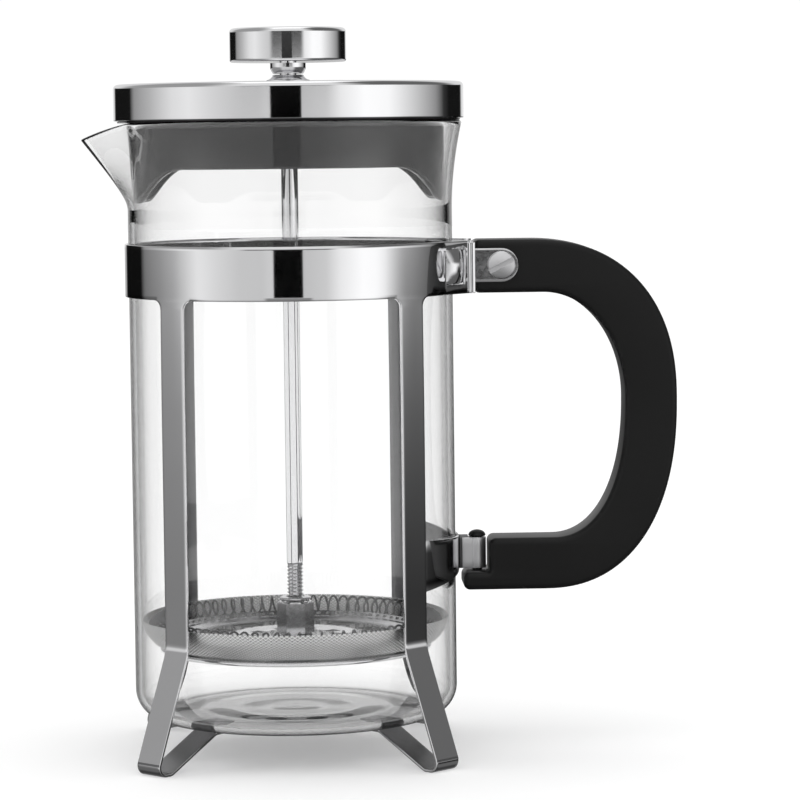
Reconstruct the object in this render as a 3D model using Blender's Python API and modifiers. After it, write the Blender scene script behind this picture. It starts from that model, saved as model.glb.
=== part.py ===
"""A glass french press in a steel frame, built piece by piece.

All sizes are in metres and +Z is up. The press stands on z = 0. Its pieces turn or slide on the
beaker's axis, which is vertical. The handle is on the +X side and the spout on the -X side.
"""
import math

import bmesh
import bpy

MM = 0.001

# Clearances between pieces
TOUCH_GAP = 0.3 * MM           # left between pieces that rest on each other
RUN_GAP = 0.3 * MM             # round the rod and other pieces that pass through a hole
LIP_GAP = 0.1 * MM             # more room where two thin edges pass each other
CUT_PAST = 1.0 * MM            # how far a cutter runs past the face it cuts
MERGE = 0.01 * MM

# Beaker
BEAKER_RADIUS = 48.5 * MM
BEAKER_WALL = 1.8 * MM
BEAKER_BASE_Z = 10.7 * MM
BEAKER_HEIGHT = 177.9 * MM
BEAKER_CORNER = 9.0 * MM
RIM_FLARE = 3.1 * MM           # how far the rim stands out from the wall
FLARE_POWER = 1.8              # 1 would be a straight cone
FLARE_HEIGHT = 25.0 * MM
SPOUT_OUT = 13.5 * MM          # wall to the tip of the pouring lip
SPOUT_POWER = 1.6              # how sharply the lip narrows to its tip
SPOUT_DROP = 4.3 * MM
SPOUT_HALF_ANGLE = math.radians(25)

# Lid
CAP_OVERHANG = 0.7 * MM        # how far the cap stands out past the rim
CAP_HEIGHT = 11.2 * MM
CAP_SHEET = 0.6 * MM
CAP_CORNER = 2.4 * MM
CAP_DOME = 0.4 * MM
CAP_OVER_PLATE = 0.7 * MM      # how far the cap's edge stands above the insert plate's underside
INSERT_PLATE = 1.7 * MM
INSERT_WALL = 1.8 * MM
INSERT_SKIRT = 13.1 * MM       # plate to the skirt's lower edge, front and back
TONGUE_LENGTH = 10.1 * MM      # how much further the two tongues hang
TONGUE_ROOT_ANGLE = math.radians(42)
TONGUE_TIP_ANGLE = math.radians(11)
STRAINER_SLOTS = 7
STRAINER_SLOT_WIDTH = 1.5 * MM
STRAINER_SLOT_HEIGHT = 9.0 * MM
STRAINER_SLOT_PITCH = math.radians(4.4)
BOSS_WALL = 2.5 * MM
COLLAR_TUBE_RADIUS = 4.2 * MM
COLLAR_FOOT_RADIUS = 6.5 * MM
COLLAR_TOP_RADIUS = 4.8 * MM
COLLAR_HEIGHT = 1.8 * MM
COLLAR_TAIL = 1.0 * MM         # how far its tube shows below the lid nut
LID_NUT_RADIUS = 7.5 * MM
LID_NUT_HEIGHT = 3.6 * MM

# Plunger
ROD_RADIUS = 2.5 * MM
KNOB_RADIUS = 17.45 * MM
KNOB_HEIGHT = 10.1 * MM
KNOB_TOP_ROUND = 2.0 * MM
KNOB_FOOT_ROUND = 1.0 * MM
KNOB_BORE_DEPTH = 6.2 * MM
NECK_TOP_RADIUS = 5.35 * MM
NECK_FOOT_RADIUS = 4.7 * MM
NECK_HEIGHT = 3.2 * MM
NECK_STRAIGHT = 0.4            # share of the neck's height that is straight
STACK_LIFT = 18.1 * MM         # beaker floor to the stud's flange, with the plunger fully down
STUD_FLANGE_RADIUS = 7.0 * MM
STUD_FLANGE = 1.0 * MM
STUD_RADIUS = 4.0 * MM
STUD_FLOOR = 1.6 * MM
HUB_NUT_RADIUS = 5.6 * MM
HUB_NUT_HEIGHT = 10.0 * MM
LOCK_NUT_RADIUS = 4.75 * MM
LOCK_NUT_HEIGHT = 1.1 * MM
PLATE_SHEET = 0.8 * MM
BASE_PLATE_INSET = 5.35 * MM   # edge to the screen's rim
BASE_PLATE_LIP = 1.6 * MM
BASE_HOLE_INSET = 17.0 * MM    # plate edge to the middle of each hole
BASE_HOLE_SHARE = 0.25         # hole radius to the radius of their ring
BASE_HOLE_COUNT = 8
SCREEN_SHEET = 0.8 * MM
SCREEN_RIM_HEIGHT = 8.8 * MM
SPRING_PLATE_INSET = 8.95 * MM
SPRING_FLANGE_REACH = 1.6 * MM
SPRING_FLANGE_RISE = 1.6 * MM
SPRING_HOLE_INSET = 9.4 * MM
SPRING_HOLE_SHARE = 4.5 / 28
SPRING_HOLE_COUNT = 8
COIL_RADIUS = 2.4 * MM         # middle of the coil to the middle of its wire
COIL_WIRE = 0.8 * MM
COIL_TURNS = 48
COIL_INSET = 4.75 * MM         # the screen's rim to the middle of the coil
COIL_LIFT = 4.2 * MM           # coil centre above the spring plate's middle plane

# Frame
FRAME_SHEET = 0.8 * MM
BAND_BELOW_FLARE = 10.1 * MM
BAND_HEIGHT = 15.7 * MM
FLAP_OUT = 3.4 * MM            # how far the flap's end stands out from the band's middle line
FLAP_PAST_STRAP = 1.5 * MM     # the flap's end to the strap's middle line, front to back
FLAP_RUN = 9.5 * MM            # front-to-back length of a flap
FLAP_LIP_RADIUS = 1.1 * MM
FLAP_LIP_TURN = math.radians(120)
WINDOW_START = 2.0 * MM
WINDOW_LENGTH = 8.0 * MM
WINDOW_GAP = 0.4 * MM          # above and below the strap
LEG_DEGREES = (225, 315)       # the two front legs; the rear ones mirror them
LEG_WIDTH = 9.3 * MM
LEG_FILLET = 2.8 * MM
LEG_BEND_Z = 35.0 * MM
LEG_BEND_RADIUS = 14.0 * MM
FOOT_OUT = 13.1 * MM           # the band's middle line to the bend at a foot's outer end
TOE_OUT = 7.3 * MM             # and to the bend at its inner end
FOOT_BEND_RADIUS = 2.5 * MM
TAB_IN = 10.7 * MM             # the band's middle line in to the bend under the glass
TAB_LENGTH = 8.5 * MM
LUG_ROOT_Z = (51.2 * MM, 66.3 * MM)
LUG_END_Z = (54.3 * MM, 64.4 * MM)
LUG_TAB_OFFSET = 0.6 * MM      # middle of each lug's tab to the press's middle plane
LUG_TAB_OUT = 3.1 * MM         # the band's middle line to the end of the tab
LUG_BEND = 1.0 * MM

# Handle
HANDLE_DEPTH = 16.4 * MM
HANDLE_ROUND = 1.7 * MM
HANDLE_START_OUT = 5.1 * MM    # the band's middle line to the upper arm's end
HANDLE_OUT = 66.1 * MM         # and to the grip's outer side
HANDLE_GRIP = 15.6 * MM
HANDLE_OVER_BAND = 0.1 * MM    # how far the upper arm stands above the band
HANDLE_ARM = 15.9 * MM
HANDLE_FOOT_ARM = 15.6 * MM
HANDLE_LIP_OUT = 1.4 * MM      # the band's middle line to the lower arm's end
HANDLE_LIP = 5.4 * MM
HANDLE_LIP_DROP = 0.5 * MM     # the lip's top below the lugs
HANDLE_NOTCH = 7.8 * MM
HANDLE_MIDDLE = 0.5437         # the grip's widest level, as a share of the handle's height
HANDLE_CORNER = 2.0 * MM
NOTCH_CORNER = 1.0 * MM
SHOULDER_TOP = 44.3 * MM       # outer curve's width, above the middle
SHOULDER_FOOT = 40.0 * MM      # and below it
SHOULDER_POWER = 2.3           # 2 would be an ellipse
HOLLOW_TOP = 24.5 * MM         # inner curve's width, above the middle
HOLLOW_FOOT = 22.0 * MM
HOLLOW_FOOT_POWER = 2.25

# Clasp, screw and lower bracket
STRAP_SHEET = 1.0 * MM
STRAP_HEIGHT = 10.0 * MM
STRAP_SCREW_OUT = 13.5 * MM    # the band's middle line to the screw
STRAP_LIFT = 0.4 * MM          # the strap's middle above the band's
STRAP_BEND = 1.5 * MM
STRAP_DIP_BEND = 1.0 * MM      # where the strap turns out through the window
STRAP_BULGE_BEND = 1.6 * MM
STRAP_DIP = 0.7 * MM           # places of its bends, from the window's ends along the flap
STRAP_BULGE_FIRST = 2.8 * MM
STRAP_BULGE_LAST = 2.6 * MM
STRAP_TAIL = 1.2 * MM
SCREW_RADIUS = 2.0 * MM
SCREW_HEAD_RADIUS = 4.1 * MM
SCREW_HEAD = 1.6 * MM
SCREW_CROWN = 0.7 * MM         # rounded part of the head's height
SCREW_SLOT = 1.1 * MM
SCREW_SLOT_DEPTH = 0.9 * MM
SCREW_SLOT_TILT = math.radians(27)
SCREW_NUT_RADIUS = 4.4 * MM
SCREW_NUT = 2.6 * MM
SCREW_TAIL = 0.8 * MM          # how far the shank shows past its nut
BARREL_OUT = 5.9 * MM          # the band's middle line to the pin
BARREL_SHEET = 0.9 * MM
BARREL_HEIGHT = 9.3 * MM
BARREL_LIFT = 0.1 * MM         # its foot above the lugs' lower edge
TAIL_GAP = 0.6 * MM            # more room between its tails and the band
PIN_RADIUS = 1.5 * MM
PIN_HEAD_RADIUS = 2.6 * MM
PIN_HEAD = 1.9 * MM
PIN_LIFT = 0.6 * MM            # the pin's foot above the handle's

ROUND_STEPS = 48
SMALL_STEPS = 20
ROD_STEPS = 16

# Levels that follow from the sizes above
BEAKER_INNER = BEAKER_RADIUS - BEAKER_WALL
RIM_RADIUS = BEAKER_RADIUS + RIM_FLARE
SPOUT_REACH = BEAKER_RADIUS + SPOUT_OUT
RIM_Z = BEAKER_BASE_Z + BEAKER_HEIGHT
FLARE_BASE_Z = RIM_Z - FLARE_HEIGHT
PLATE_Z = RIM_Z + 0.4 * BEAKER_WALL
PLATE_TOP_Z = PLATE_Z + INSERT_PLATE
SKIRT_RADIUS = BEAKER_INNER - TOUCH_GAP - 0.05 * MM
CAP_RADIUS = RIM_RADIUS + CAP_OVERHANG
CAP_BASE_Z = PLATE_Z + CAP_OVER_PLATE
CAP_TOP_Z = CAP_BASE_Z + CAP_HEIGHT
COLLAR_FOOT_Z = CAP_TOP_Z + TOUCH_GAP
COLLAR_TOP_Z = COLLAR_FOOT_Z + COLLAR_HEIGHT
LID_NUT_TOP_Z = PLATE_Z - TOUCH_GAP
LID_NUT_BASE_Z = LID_NUT_TOP_Z - LID_NUT_HEIGHT
GUIDE_BORE = ROD_RADIUS + RUN_GAP
TUBE_HOLE = COLLAR_TUBE_RADIUS + RUN_GAP
NECK_BASE_Z = COLLAR_TOP_Z + TOUCH_GAP
KNOB_BASE_Z = NECK_BASE_Z + NECK_HEIGHT + TOUCH_GAP
STUD_HOLE = STUD_RADIUS + RUN_GAP
STACK_BASE_Z = BEAKER_BASE_Z + BEAKER_WALL + STACK_LIFT
BASE_PLATE_RADIUS = SKIRT_RADIUS - BASE_PLATE_INSET
BASE_HOLE_RING = BASE_PLATE_RADIUS - BASE_HOLE_INSET
SPRING_PLATE_RADIUS = SKIRT_RADIUS - SPRING_PLATE_INSET
SPRING_HOLE_RING = SPRING_PLATE_RADIUS - SPRING_HOLE_INSET
COIL_RING = SKIRT_RADIUS - COIL_INSET
BASE_PLATE_Z = STACK_BASE_Z + STUD_FLANGE + TOUCH_GAP
SCREEN_Z = BASE_PLATE_Z + PLATE_SHEET + TOUCH_GAP
SPRING_Z = SCREEN_Z + SCREEN_SHEET + TOUCH_GAP
HUB_NUT_Z = SPRING_Z + PLATE_SHEET + TOUCH_GAP
LOCK_NUT_Z = HUB_NUT_Z + HUB_NUT_HEIGHT + TOUCH_GAP
SHEET_RADIUS = BEAKER_RADIUS + TOUCH_GAP + FRAME_SHEET / 2
BAND_TOP_Z = FLARE_BASE_Z - BAND_BELOW_FLARE
BAND_BOTTOM_Z = BAND_TOP_Z - BAND_HEIGHT
TAB_Z = BEAKER_BASE_Z - TOUCH_GAP - FRAME_SHEET / 2
STRAP_Z = BAND_BOTTOM_Z + BAND_HEIGHT / 2 + STRAP_LIFT
STRAP_Y = HANDLE_DEPTH / 2 + TOUCH_GAP + STRAP_SHEET / 2
STRAP_SCREW_X = SHEET_RADIUS + STRAP_SCREW_OUT
FLAP_REACH_X = SHEET_RADIUS + FLAP_OUT
FLAP_REACH_Y = STRAP_Y + FLAP_PAST_STRAP
FLAP_START_ANGLE = math.asin((FLAP_REACH_Y + FLAP_RUN) / SHEET_RADIUS)
HANDLE_START_X = SHEET_RADIUS + HANDLE_START_OUT
HANDLE_REACH = SHEET_RADIUS + HANDLE_OUT
HANDLE_LIP_X = SHEET_RADIUS + HANDLE_LIP_OUT
HANDLE_TOP_Z = BAND_TOP_Z + HANDLE_OVER_BAND
HANDLE_LIP_Z = LUG_END_Z[0] - HANDLE_LIP_DROP
HANDLE_FOOT_Z = HANDLE_LIP_Z - HANDLE_LIP
HANDLE_MID_Z = HANDLE_FOOT_Z + HANDLE_MIDDLE * (HANDLE_TOP_Z - HANDLE_FOOT_Z)
BARREL_X = SHEET_RADIUS + BARREL_OUT
BARREL_BASE_Z = LUG_END_Z[0] + BARREL_LIFT
BARREL_RADIUS = PIN_RADIUS + RUN_GAP + BARREL_SHEET / 2
AXIS_X = (SPOUT_REACH - HANDLE_REACH) / 2


# ---------------------------------------------------------------- helpers

def clear_scene():
    """Take every object out of the scene."""
    for old in list(bpy.data.objects):
        bpy.data.objects.remove(old)


def new_collection(name):
    """Make a collection under the scene's own."""
    made = bpy.data.collections.new(name)
    bpy.context.scene.collection.children.link(made)
    return made


def finish_material(name, color, roughness, metallic, transmission=0.0):
    """Make a Principled material."""
    made = bpy.data.materials.new(name)
    made.use_nodes = True
    shader = made.node_tree.nodes["Principled BSDF"]
    shader.inputs["Base Color"].default_value = (*color, 1.0)
    shader.inputs["Roughness"].default_value = roughness
    shader.inputs["Metallic"].default_value = metallic
    shader.inputs["Transmission Weight"].default_value = transmission
    return made


def add(obj, material, parent):
    """Put a piece in the press, with its material and its body's axis as parent."""
    PARTS.objects.link(obj)
    obj.data.materials.clear()
    obj.data.materials.append(material)
    obj.parent = parent
    return obj


def add_cutter(obj, parent):
    """Put a shape that only cuts or trims others in the cutters' collection."""
    CUTTERS.objects.link(obj)
    obj.parent = parent
    obj.hide_render = True
    obj.display_type = "WIRE"
    return obj


def axis_empty(name, parent=None):
    """Make the empty that a body's pieces hang on, on the beaker's axis."""
    made = bpy.data.objects.new(name, None)
    PARTS.objects.link(made)
    made.parent = parent
    if parent is None:
        made.location.x = AXIS_X
    return made


def arc(centre, radius, start, end, steps):
    """Points on an arc in a plane, from one angle to another."""
    angles = [math.radians(start + (end - start) * i / steps) for i in range(steps + 1)]
    return [(centre[0] + radius * math.cos(a), centre[1] + radius * math.sin(a)) for a in angles]


def quarter(centre, semi_axes, power, start, end, steps):
    """Points on part of a superellipse, a circle's arc with squarer shoulders."""
    points = []
    for i in range(steps + 1):
        angle = math.radians(start + (end - start) * i / steps)
        across, up = math.cos(angle), math.sin(angle)
        x = math.copysign(abs(across) ** (2 / power), across)
        y = math.copysign(abs(up) ** (2 / power), up)
        points.append((centre[0] + semi_axes[0] * x, centre[1] + semi_axes[1] * y))
    return points


def rounded(corners, steps=4, closed=False):
    """Points of a path through (x, y, radius) corners, with each corner rounded by an arc."""
    count = len(corners)
    points = []
    for i, (x, y, radius) in enumerate(corners):
        if radius == 0 or (not closed and i in (0, count - 1)):
            points.append((x, y))
            continue
        before, after = corners[i - 1], corners[(i + 1) % count]
        back = math.atan2(before[1] - y, before[0] - x)
        ahead = math.atan2(after[1] - y, after[0] - x)
        turn = math.remainder(ahead - back, math.tau)
        half = abs(turn) / 2
        middle = back + turn / 2
        reach = radius / math.sin(half)
        cx, cy = x + reach * math.cos(middle), y + reach * math.sin(middle)
        side = math.copysign(1.0, turn)
        sweep = math.pi - 2 * half
        first = middle + math.pi + side * sweep / 2
        for j in range(steps + 1):
            angle = first - side * sweep * j / steps
            points.append((cx + radius * math.cos(angle), cy + radius * math.sin(angle)))
    return points


def turned(name, profile, closed=True, steps=ROUND_STEPS):
    """Turn an (r, z) profile round the axis. It runs down the outer side first."""
    mesh = bpy.data.meshes.new(name)
    edges = [(i, i + 1) for i in range(len(profile) - 1)]
    if closed:
        edges.append((len(profile) - 1, 0))
    mesh.from_pydata([(r, 0, z) for r, z in profile], edges, [])
    obj = bpy.data.objects.new(name, mesh)
    screw = obj.modifiers.new("turn", "SCREW")
    screw.steps = screw.render_steps = steps
    screw.use_merge_vertices = True
    screw.merge_threshold = MERGE
    return obj


def flat_outline(name, points, depth, bevel=0.0, bevel_steps=1):
    """A closed outline filled and given a depth, flat in its own XY plane."""
    curve = bpy.data.curves.new(name, "CURVE")
    curve.dimensions = "2D"
    curve.fill_mode = "BOTH"
    spline = curve.splines.new("POLY")
    spline.points.add(len(points) - 1)
    for target, (x, y) in zip(spline.points, points):
        target.co = (x, y, 0, 1)
    spline.use_cyclic_u = True
    curve.extrude = depth / 2 - bevel
    curve.bevel_depth = bevel
    curve.bevel_resolution = bevel_steps
    curve.offset = -bevel
    return bpy.data.objects.new(name, curve)


def as_mesh(obj):
    """Swap an object that isn't linked yet for a plain mesh of what it evaluates to."""
    CUTTERS.objects.link(obj)
    evaluated = obj.evaluated_get(bpy.context.evaluated_depsgraph_get())
    mesh = bpy.data.meshes.new_from_object(evaluated)
    work = bmesh.new()
    work.from_mesh(mesh)
    bmesh.ops.remove_doubles(work, verts=work.verts, dist=MERGE)
    work.to_mesh(mesh)
    work.free()
    made = bpy.data.objects.new(obj.name, mesh)
    made.matrix_world = obj.matrix_world
    name = obj.name
    bpy.data.objects.remove(obj)
    made.name = name
    return made


def boolean(obj, other, operation="DIFFERENCE"):
    """Cut, join or trim one mesh with another."""
    modifier = obj.modifiers.new(operation.lower(), "BOOLEAN")
    modifier.operation = operation
    modifier.object = other


def round_cutter(name, radius, low, high, axis, steps=SMALL_STEPS):
    """A straight round cutter along the axis."""
    profile = [(0, high), (radius, high), (radius, low), (0, low)]
    return add_cutter(as_mesh(turned(name, profile, closed=False, steps=steps)), axis)


def box_cutter(name, size, axis):
    """A box that cuts, centred on its origin."""
    mesh = bpy.data.meshes.new(name)
    work = bmesh.new()
    bmesh.ops.create_cube(work, size=1)
    bmesh.ops.scale(work, vec=size, verts=work.verts)
    work.to_mesh(mesh)
    work.free()
    return add_cutter(bpy.data.objects.new(name, mesh), axis)


def ribbon(path, thickness):
    """The closed outline of a strip of sheet seen edge on, along a path."""
    left, right = [], []
    for i, (x, y) in enumerate(path):
        x0, y0 = path[max(i - 1, 0)]
        x1, y1 = path[min(i + 1, len(path) - 1)]
        length = math.hypot(x1 - x0, y1 - y0)
        nx, ny = -(y1 - y0) / length, (x1 - x0) / length
        left.append((x + nx * thickness / 2, y + ny * thickness / 2))
        right.append((x - nx * thickness / 2, y - ny * thickness / 2))
    return left + right[::-1]


def smooth(obj, limit=35):
    """Shade round faces smooth and keep edges sharper than the limit."""
    obj.data.shade_smooth()
    obj.data.set_sharp_from_angle(angle=math.radians(limit))


# ---------------------------------------------------------------- beaker

def beaker_profile():
    """The outside of the glass, from the rim down to the middle of the base."""
    points = []
    for i in range(7):
        share = 1 - i / 6
        flare = RIM_FLARE * share ** FLARE_POWER
        points.append((BEAKER_RADIUS + flare, FLARE_BASE_Z + FLARE_HEIGHT * share))
    corner = (BEAKER_RADIUS - BEAKER_CORNER, BEAKER_BASE_Z + BEAKER_CORNER)
    points += arc(corner, BEAKER_CORNER, 0, -90, 5)
    points.append((0, BEAKER_BASE_Z))
    return points


def pull_spout(mesh):
    """Draw the wall out on the -X side into a pouring lip that droops a little."""
    for vertex in mesh.vertices:
        x, y, z = vertex.co
        away = abs(math.atan2(y, -x)) / SPOUT_HALF_ANGLE
        if z <= FLARE_BASE_Z or away >= 1:
            continue
        pull = (1 - away) ** SPOUT_POWER
        share = (z - FLARE_BASE_Z) / FLARE_HEIGHT
        radius = math.hypot(x, y)
        reach = BEAKER_RADIUS + (SPOUT_REACH - BEAKER_RADIUS) * share
        scale = (radius + (reach - radius) * pull) / radius
        vertex.co = (x * scale, y * scale, z - SPOUT_DROP * share * pull)


def make_beaker(axis, glass):
    """The glass: a turned outside with its spout, given the wall's thickness inwards."""
    obj = as_mesh(turned("beaker", beaker_profile(), closed=False))
    pull_spout(obj.data)
    shell = obj.modifiers.new("wall", "SOLIDIFY")
    shell.thickness = BEAKER_WALL
    shell.offset = -1
    shell.use_even_offset = True
    smooth(obj)
    add(obj, glass, axis)


# ---------------------------------------------------------------- lid

def make_cap(axis, steel):
    """The pressed steel cap, open below."""
    edge_z = CAP_TOP_Z - CAP_DOME
    centre = (CAP_RADIUS - CAP_CORNER, edge_z - CAP_CORNER)
    outside = [(TUBE_HOLE, CAP_TOP_Z), (CAP_RADIUS / 2, CAP_TOP_Z - CAP_DOME / 4)]
    outside += arc(centre, CAP_CORNER, 90, 0, 3) + [(CAP_RADIUS, CAP_BASE_Z)]
    inside = [(CAP_RADIUS - CAP_SHEET, CAP_BASE_Z)]
    inside += arc(centre, CAP_CORNER - CAP_SHEET, 0, 90, 3)
    inside += [(CAP_RADIUS / 2, CAP_TOP_Z - CAP_DOME / 4 - CAP_SHEET)]
    inside += [(TUBE_HOLE, CAP_TOP_Z - CAP_SHEET)]
    obj = turned("lid_cap", outside + inside)
    smooth(obj)
    add(obj, steel, axis)


def skirt_drop(angle):
    """How far below the skirt's lower edge the insert hangs, at an angle from the X axis."""
    share = (TONGUE_ROOT_ANGLE - angle) / (TONGUE_ROOT_ANGLE - TONGUE_TIP_ANGLE)
    share = min(max(share, 0), 1)
    return TONGUE_LENGTH * math.sin(share * math.pi / 2) ** 1.3


def make_insert(axis, plastic):
    """The plastic insert: a plate on the rim, a skirt with two tongues, and a central boss."""
    skirt_z = PLATE_Z - INSERT_SKIRT
    plate_radius = CAP_RADIUS - CAP_SHEET - RUN_GAP - LIP_GAP
    boss_radius = TUBE_HOLE + BOSS_WALL
    boss_z = CAP_TOP_Z - CAP_SHEET - TOUCH_GAP
    inner = SKIRT_RADIUS - INSERT_WALL
    profile = [(plate_radius, PLATE_TOP_Z), (plate_radius, PLATE_Z), (SKIRT_RADIUS, PLATE_Z)]
    profile += [(SKIRT_RADIUS, skirt_z), (SKIRT_RADIUS, skirt_z - MM)]
    profile += [(inner, skirt_z - MM), (inner, skirt_z), (inner, PLATE_Z)]
    profile += [(TUBE_HOLE, PLATE_Z), (TUBE_HOLE, boss_z), (boss_radius, boss_z)]
    profile += [(boss_radius, PLATE_TOP_Z)]
    obj = as_mesh(turned("lid_insert", profile, steps=60))
    for vertex in obj.data.vertices:
        if vertex.co.z < skirt_z - 0.5 * MM:
            angle = math.atan2(abs(vertex.co.y), abs(vertex.co.x))
            vertex.co.z = skirt_z - 0.2 * MM - skirt_drop(angle)
    for number in range(STRAINER_SLOTS):
        turn = math.pi + (number - (STRAINER_SLOTS - 1) / 2) * STRAINER_SLOT_PITCH
        size = (3 * INSERT_WALL, STRAINER_SLOT_WIDTH, STRAINER_SLOT_HEIGHT)
        slot = box_cutter(f"strainer_slot_{number + 1}", size, axis)
        reach = SKIRT_RADIUS - INSERT_WALL / 2
        slot.location = (reach * math.cos(turn), reach * math.sin(turn), skirt_z)
        slot.rotation_euler.z = turn
        boolean(obj, slot)
    smooth(obj)
    add(obj, plastic, axis)


def make_collar(axis, steel):
    """The flared guide on the lid, with its tube down through the cap and the insert."""
    foot_z = LID_NUT_BASE_Z - COLLAR_TAIL
    profile = [(COLLAR_TOP_RADIUS, COLLAR_TOP_Z)]
    for share in (0.35, 0.7, 1.0):
        flare = (COLLAR_FOOT_RADIUS - COLLAR_TOP_RADIUS) * share ** 2
        profile.append((COLLAR_TOP_RADIUS + flare, COLLAR_TOP_Z - COLLAR_HEIGHT * share))
    profile += [(COLLAR_TUBE_RADIUS, COLLAR_FOOT_Z), (COLLAR_TUBE_RADIUS, foot_z)]
    profile += [(GUIDE_BORE, foot_z), (GUIDE_BORE, COLLAR_TOP_Z)]
    obj = turned("rod_collar", profile, steps=ROD_STEPS)
    smooth(obj)
    add(obj, steel, axis)


def make_nut(name, radius, bore, low, height, axis, material):
    """A hexagonal nut: a six-sided block with a round bore through it."""
    obj = as_mesh(turned(name, [(0, low + height), (radius, low + height), (radius, low), (0, low)],
                         closed=False, steps=6))
    boolean(obj, round_cutter(f"{name}_bore", bore, low - CUT_PAST, low + height + CUT_PAST, axis))
    return add(obj, material, axis)


# ---------------------------------------------------------------- plunger

def make_knob(axis, steel):
    """The round knob, with the rod's blind bore from below."""
    top_z = KNOB_BASE_Z + KNOB_HEIGHT
    top = (KNOB_RADIUS - KNOB_TOP_ROUND, top_z - KNOB_TOP_ROUND)
    foot = (KNOB_RADIUS - KNOB_FOOT_ROUND, KNOB_BASE_Z + KNOB_FOOT_ROUND)
    profile = [(0, top_z)] + arc(top, KNOB_TOP_ROUND, 90, 0, 3)
    profile += arc(foot, KNOB_FOOT_ROUND, 0, -90, 2)
    profile += [(GUIDE_BORE, KNOB_BASE_Z), (GUIDE_BORE, KNOB_BASE_Z + KNOB_BORE_DEPTH)]
    profile += [(0, KNOB_BASE_Z + KNOB_BORE_DEPTH)]
    obj = turned("knob", profile, closed=False, steps=36)
    smooth(obj)
    add(obj, steel, axis)


def make_neck(axis, steel):
    """The short neck between the knob and the collar."""
    top_z = NECK_BASE_Z + NECK_HEIGHT
    profile = [(NECK_TOP_RADIUS, top_z), (NECK_TOP_RADIUS, top_z - NECK_HEIGHT * NECK_STRAIGHT)]
    profile += [(NECK_FOOT_RADIUS, NECK_BASE_Z), (GUIDE_BORE, NECK_BASE_Z), (GUIDE_BORE, top_z)]
    obj = turned("knob_neck", profile, steps=ROD_STEPS)
    smooth(obj)
    add(obj, steel, axis)


def make_rod(axis, steel):
    """The rod, from inside the knob down into the stud at the filter's foot."""
    top_z = KNOB_BASE_Z + KNOB_BORE_DEPTH - TOUCH_GAP
    foot_z = STACK_BASE_Z + STUD_FLOOR + TOUCH_GAP
    profile = [(0, top_z), (ROD_RADIUS, top_z), (ROD_RADIUS, foot_z), (0, foot_z)]
    obj = turned("plunger_rod", profile, closed=False, steps=ROD_STEPS)
    smooth(obj)
    add(obj, steel, axis)


def make_stud(axis, steel):
    """The flanged, threaded stud that clamps the filter's plates from below."""
    flange_z = STACK_BASE_Z + STUD_FLANGE
    top_z = HUB_NUT_Z + HUB_NUT_HEIGHT - TOUCH_GAP
    floor_z = STACK_BASE_Z + STUD_FLOOR
    profile = [(GUIDE_BORE, top_z), (STUD_RADIUS, top_z), (STUD_RADIUS, flange_z)]
    profile += [(STUD_FLANGE_RADIUS, flange_z), (STUD_FLANGE_RADIUS, STACK_BASE_Z)]
    profile += [(0, STACK_BASE_Z)]
    profile = [(0, floor_z), (GUIDE_BORE, floor_z)] + profile
    obj = turned("filter_stud", profile, closed=False, steps=ROD_STEPS)
    smooth(obj)
    add(obj, steel, axis)


def ring_of_cutters(name, count, ring, radius, z, axis):
    """Round cutters spaced evenly round the axis."""
    made = []
    for number in range(count):
        turn = math.tau * number / count
        cutter = round_cutter(f"{name}_{number + 1}", radius, -5 * CUT_PAST, 5 * CUT_PAST, axis, 10)
        cutter.location = (ring * math.cos(turn), ring * math.sin(turn), z)
        made.append(cutter)
    return made


def make_base_plate(axis, steel):
    """The perforated plate under the mesh, with a short turned-down edge."""
    top_z = BASE_PLATE_Z + PLATE_SHEET
    edge = BASE_PLATE_RADIUS
    profile = [(STUD_HOLE, top_z), (edge - PLATE_SHEET, top_z), (edge, top_z - PLATE_SHEET / 2)]
    profile += [(edge, top_z - BASE_PLATE_LIP), (edge - PLATE_SHEET, top_z - BASE_PLATE_LIP)]
    profile += [(edge - PLATE_SHEET, BASE_PLATE_Z), (STUD_HOLE, BASE_PLATE_Z)]
    obj = as_mesh(turned("base_plate", profile))
    for cutter in ring_of_cutters("base_hole", BASE_HOLE_COUNT, BASE_HOLE_RING,
                                  BASE_HOLE_SHARE * BASE_HOLE_RING, BASE_PLATE_Z, axis):
        boolean(obj, cutter)
    smooth(obj)
    add(obj, steel, axis)


def make_screen(axis, mesh_steel):
    """The woven screen: a flat disc whose edge rises to wipe the glass."""
    flat_z = SCREEN_Z + SCREEN_SHEET / 2
    run = SKIRT_RADIUS - SCREEN_SHEET / 2 - BASE_PLATE_RADIUS
    height = SCREEN_RIM_HEIGHT - SCREEN_SHEET
    middle = [(SKIRT_RADIUS - SCREEN_SHEET / 2, flat_z + height)]
    middle += [(BASE_PLATE_RADIUS + run * across, flat_z + height * up)
               for across, up in ((0.93, 0.72), (0.72, 0.42), (0.42, 0.16), (0.12, 0.0))]
    middle.append((STUD_HOLE, flat_z))
    obj = turned("mesh_screen", ribbon(middle, SCREEN_SHEET))
    smooth(obj)
    add(obj, mesh_steel, axis)


def make_spring_plate(axis, steel):
    """The slotted plate above the screen, with a raised edge that carries the coil."""
    low, high = SPRING_Z, SPRING_Z + PLATE_SHEET
    edge = SPRING_PLATE_RADIUS
    reach = edge + SPRING_FLANGE_REACH
    rise = SPRING_FLANGE_RISE
    profile = [(STUD_HOLE, high), (edge, high), (reach - PLATE_SHEET, high + rise)]
    profile += [(reach, high + rise), (edge + PLATE_SHEET / 2, low), (STUD_HOLE, low)]
    obj = as_mesh(turned("spring_plate", profile))
    for cutter in ring_of_cutters("spring_hole", SPRING_HOLE_COUNT, SPRING_HOLE_RING,
                                  SPRING_HOLE_SHARE * SPRING_HOLE_RING, SPRING_Z, axis):
        boolean(obj, cutter)
    smooth(obj)
    add(obj, steel, axis)


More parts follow.
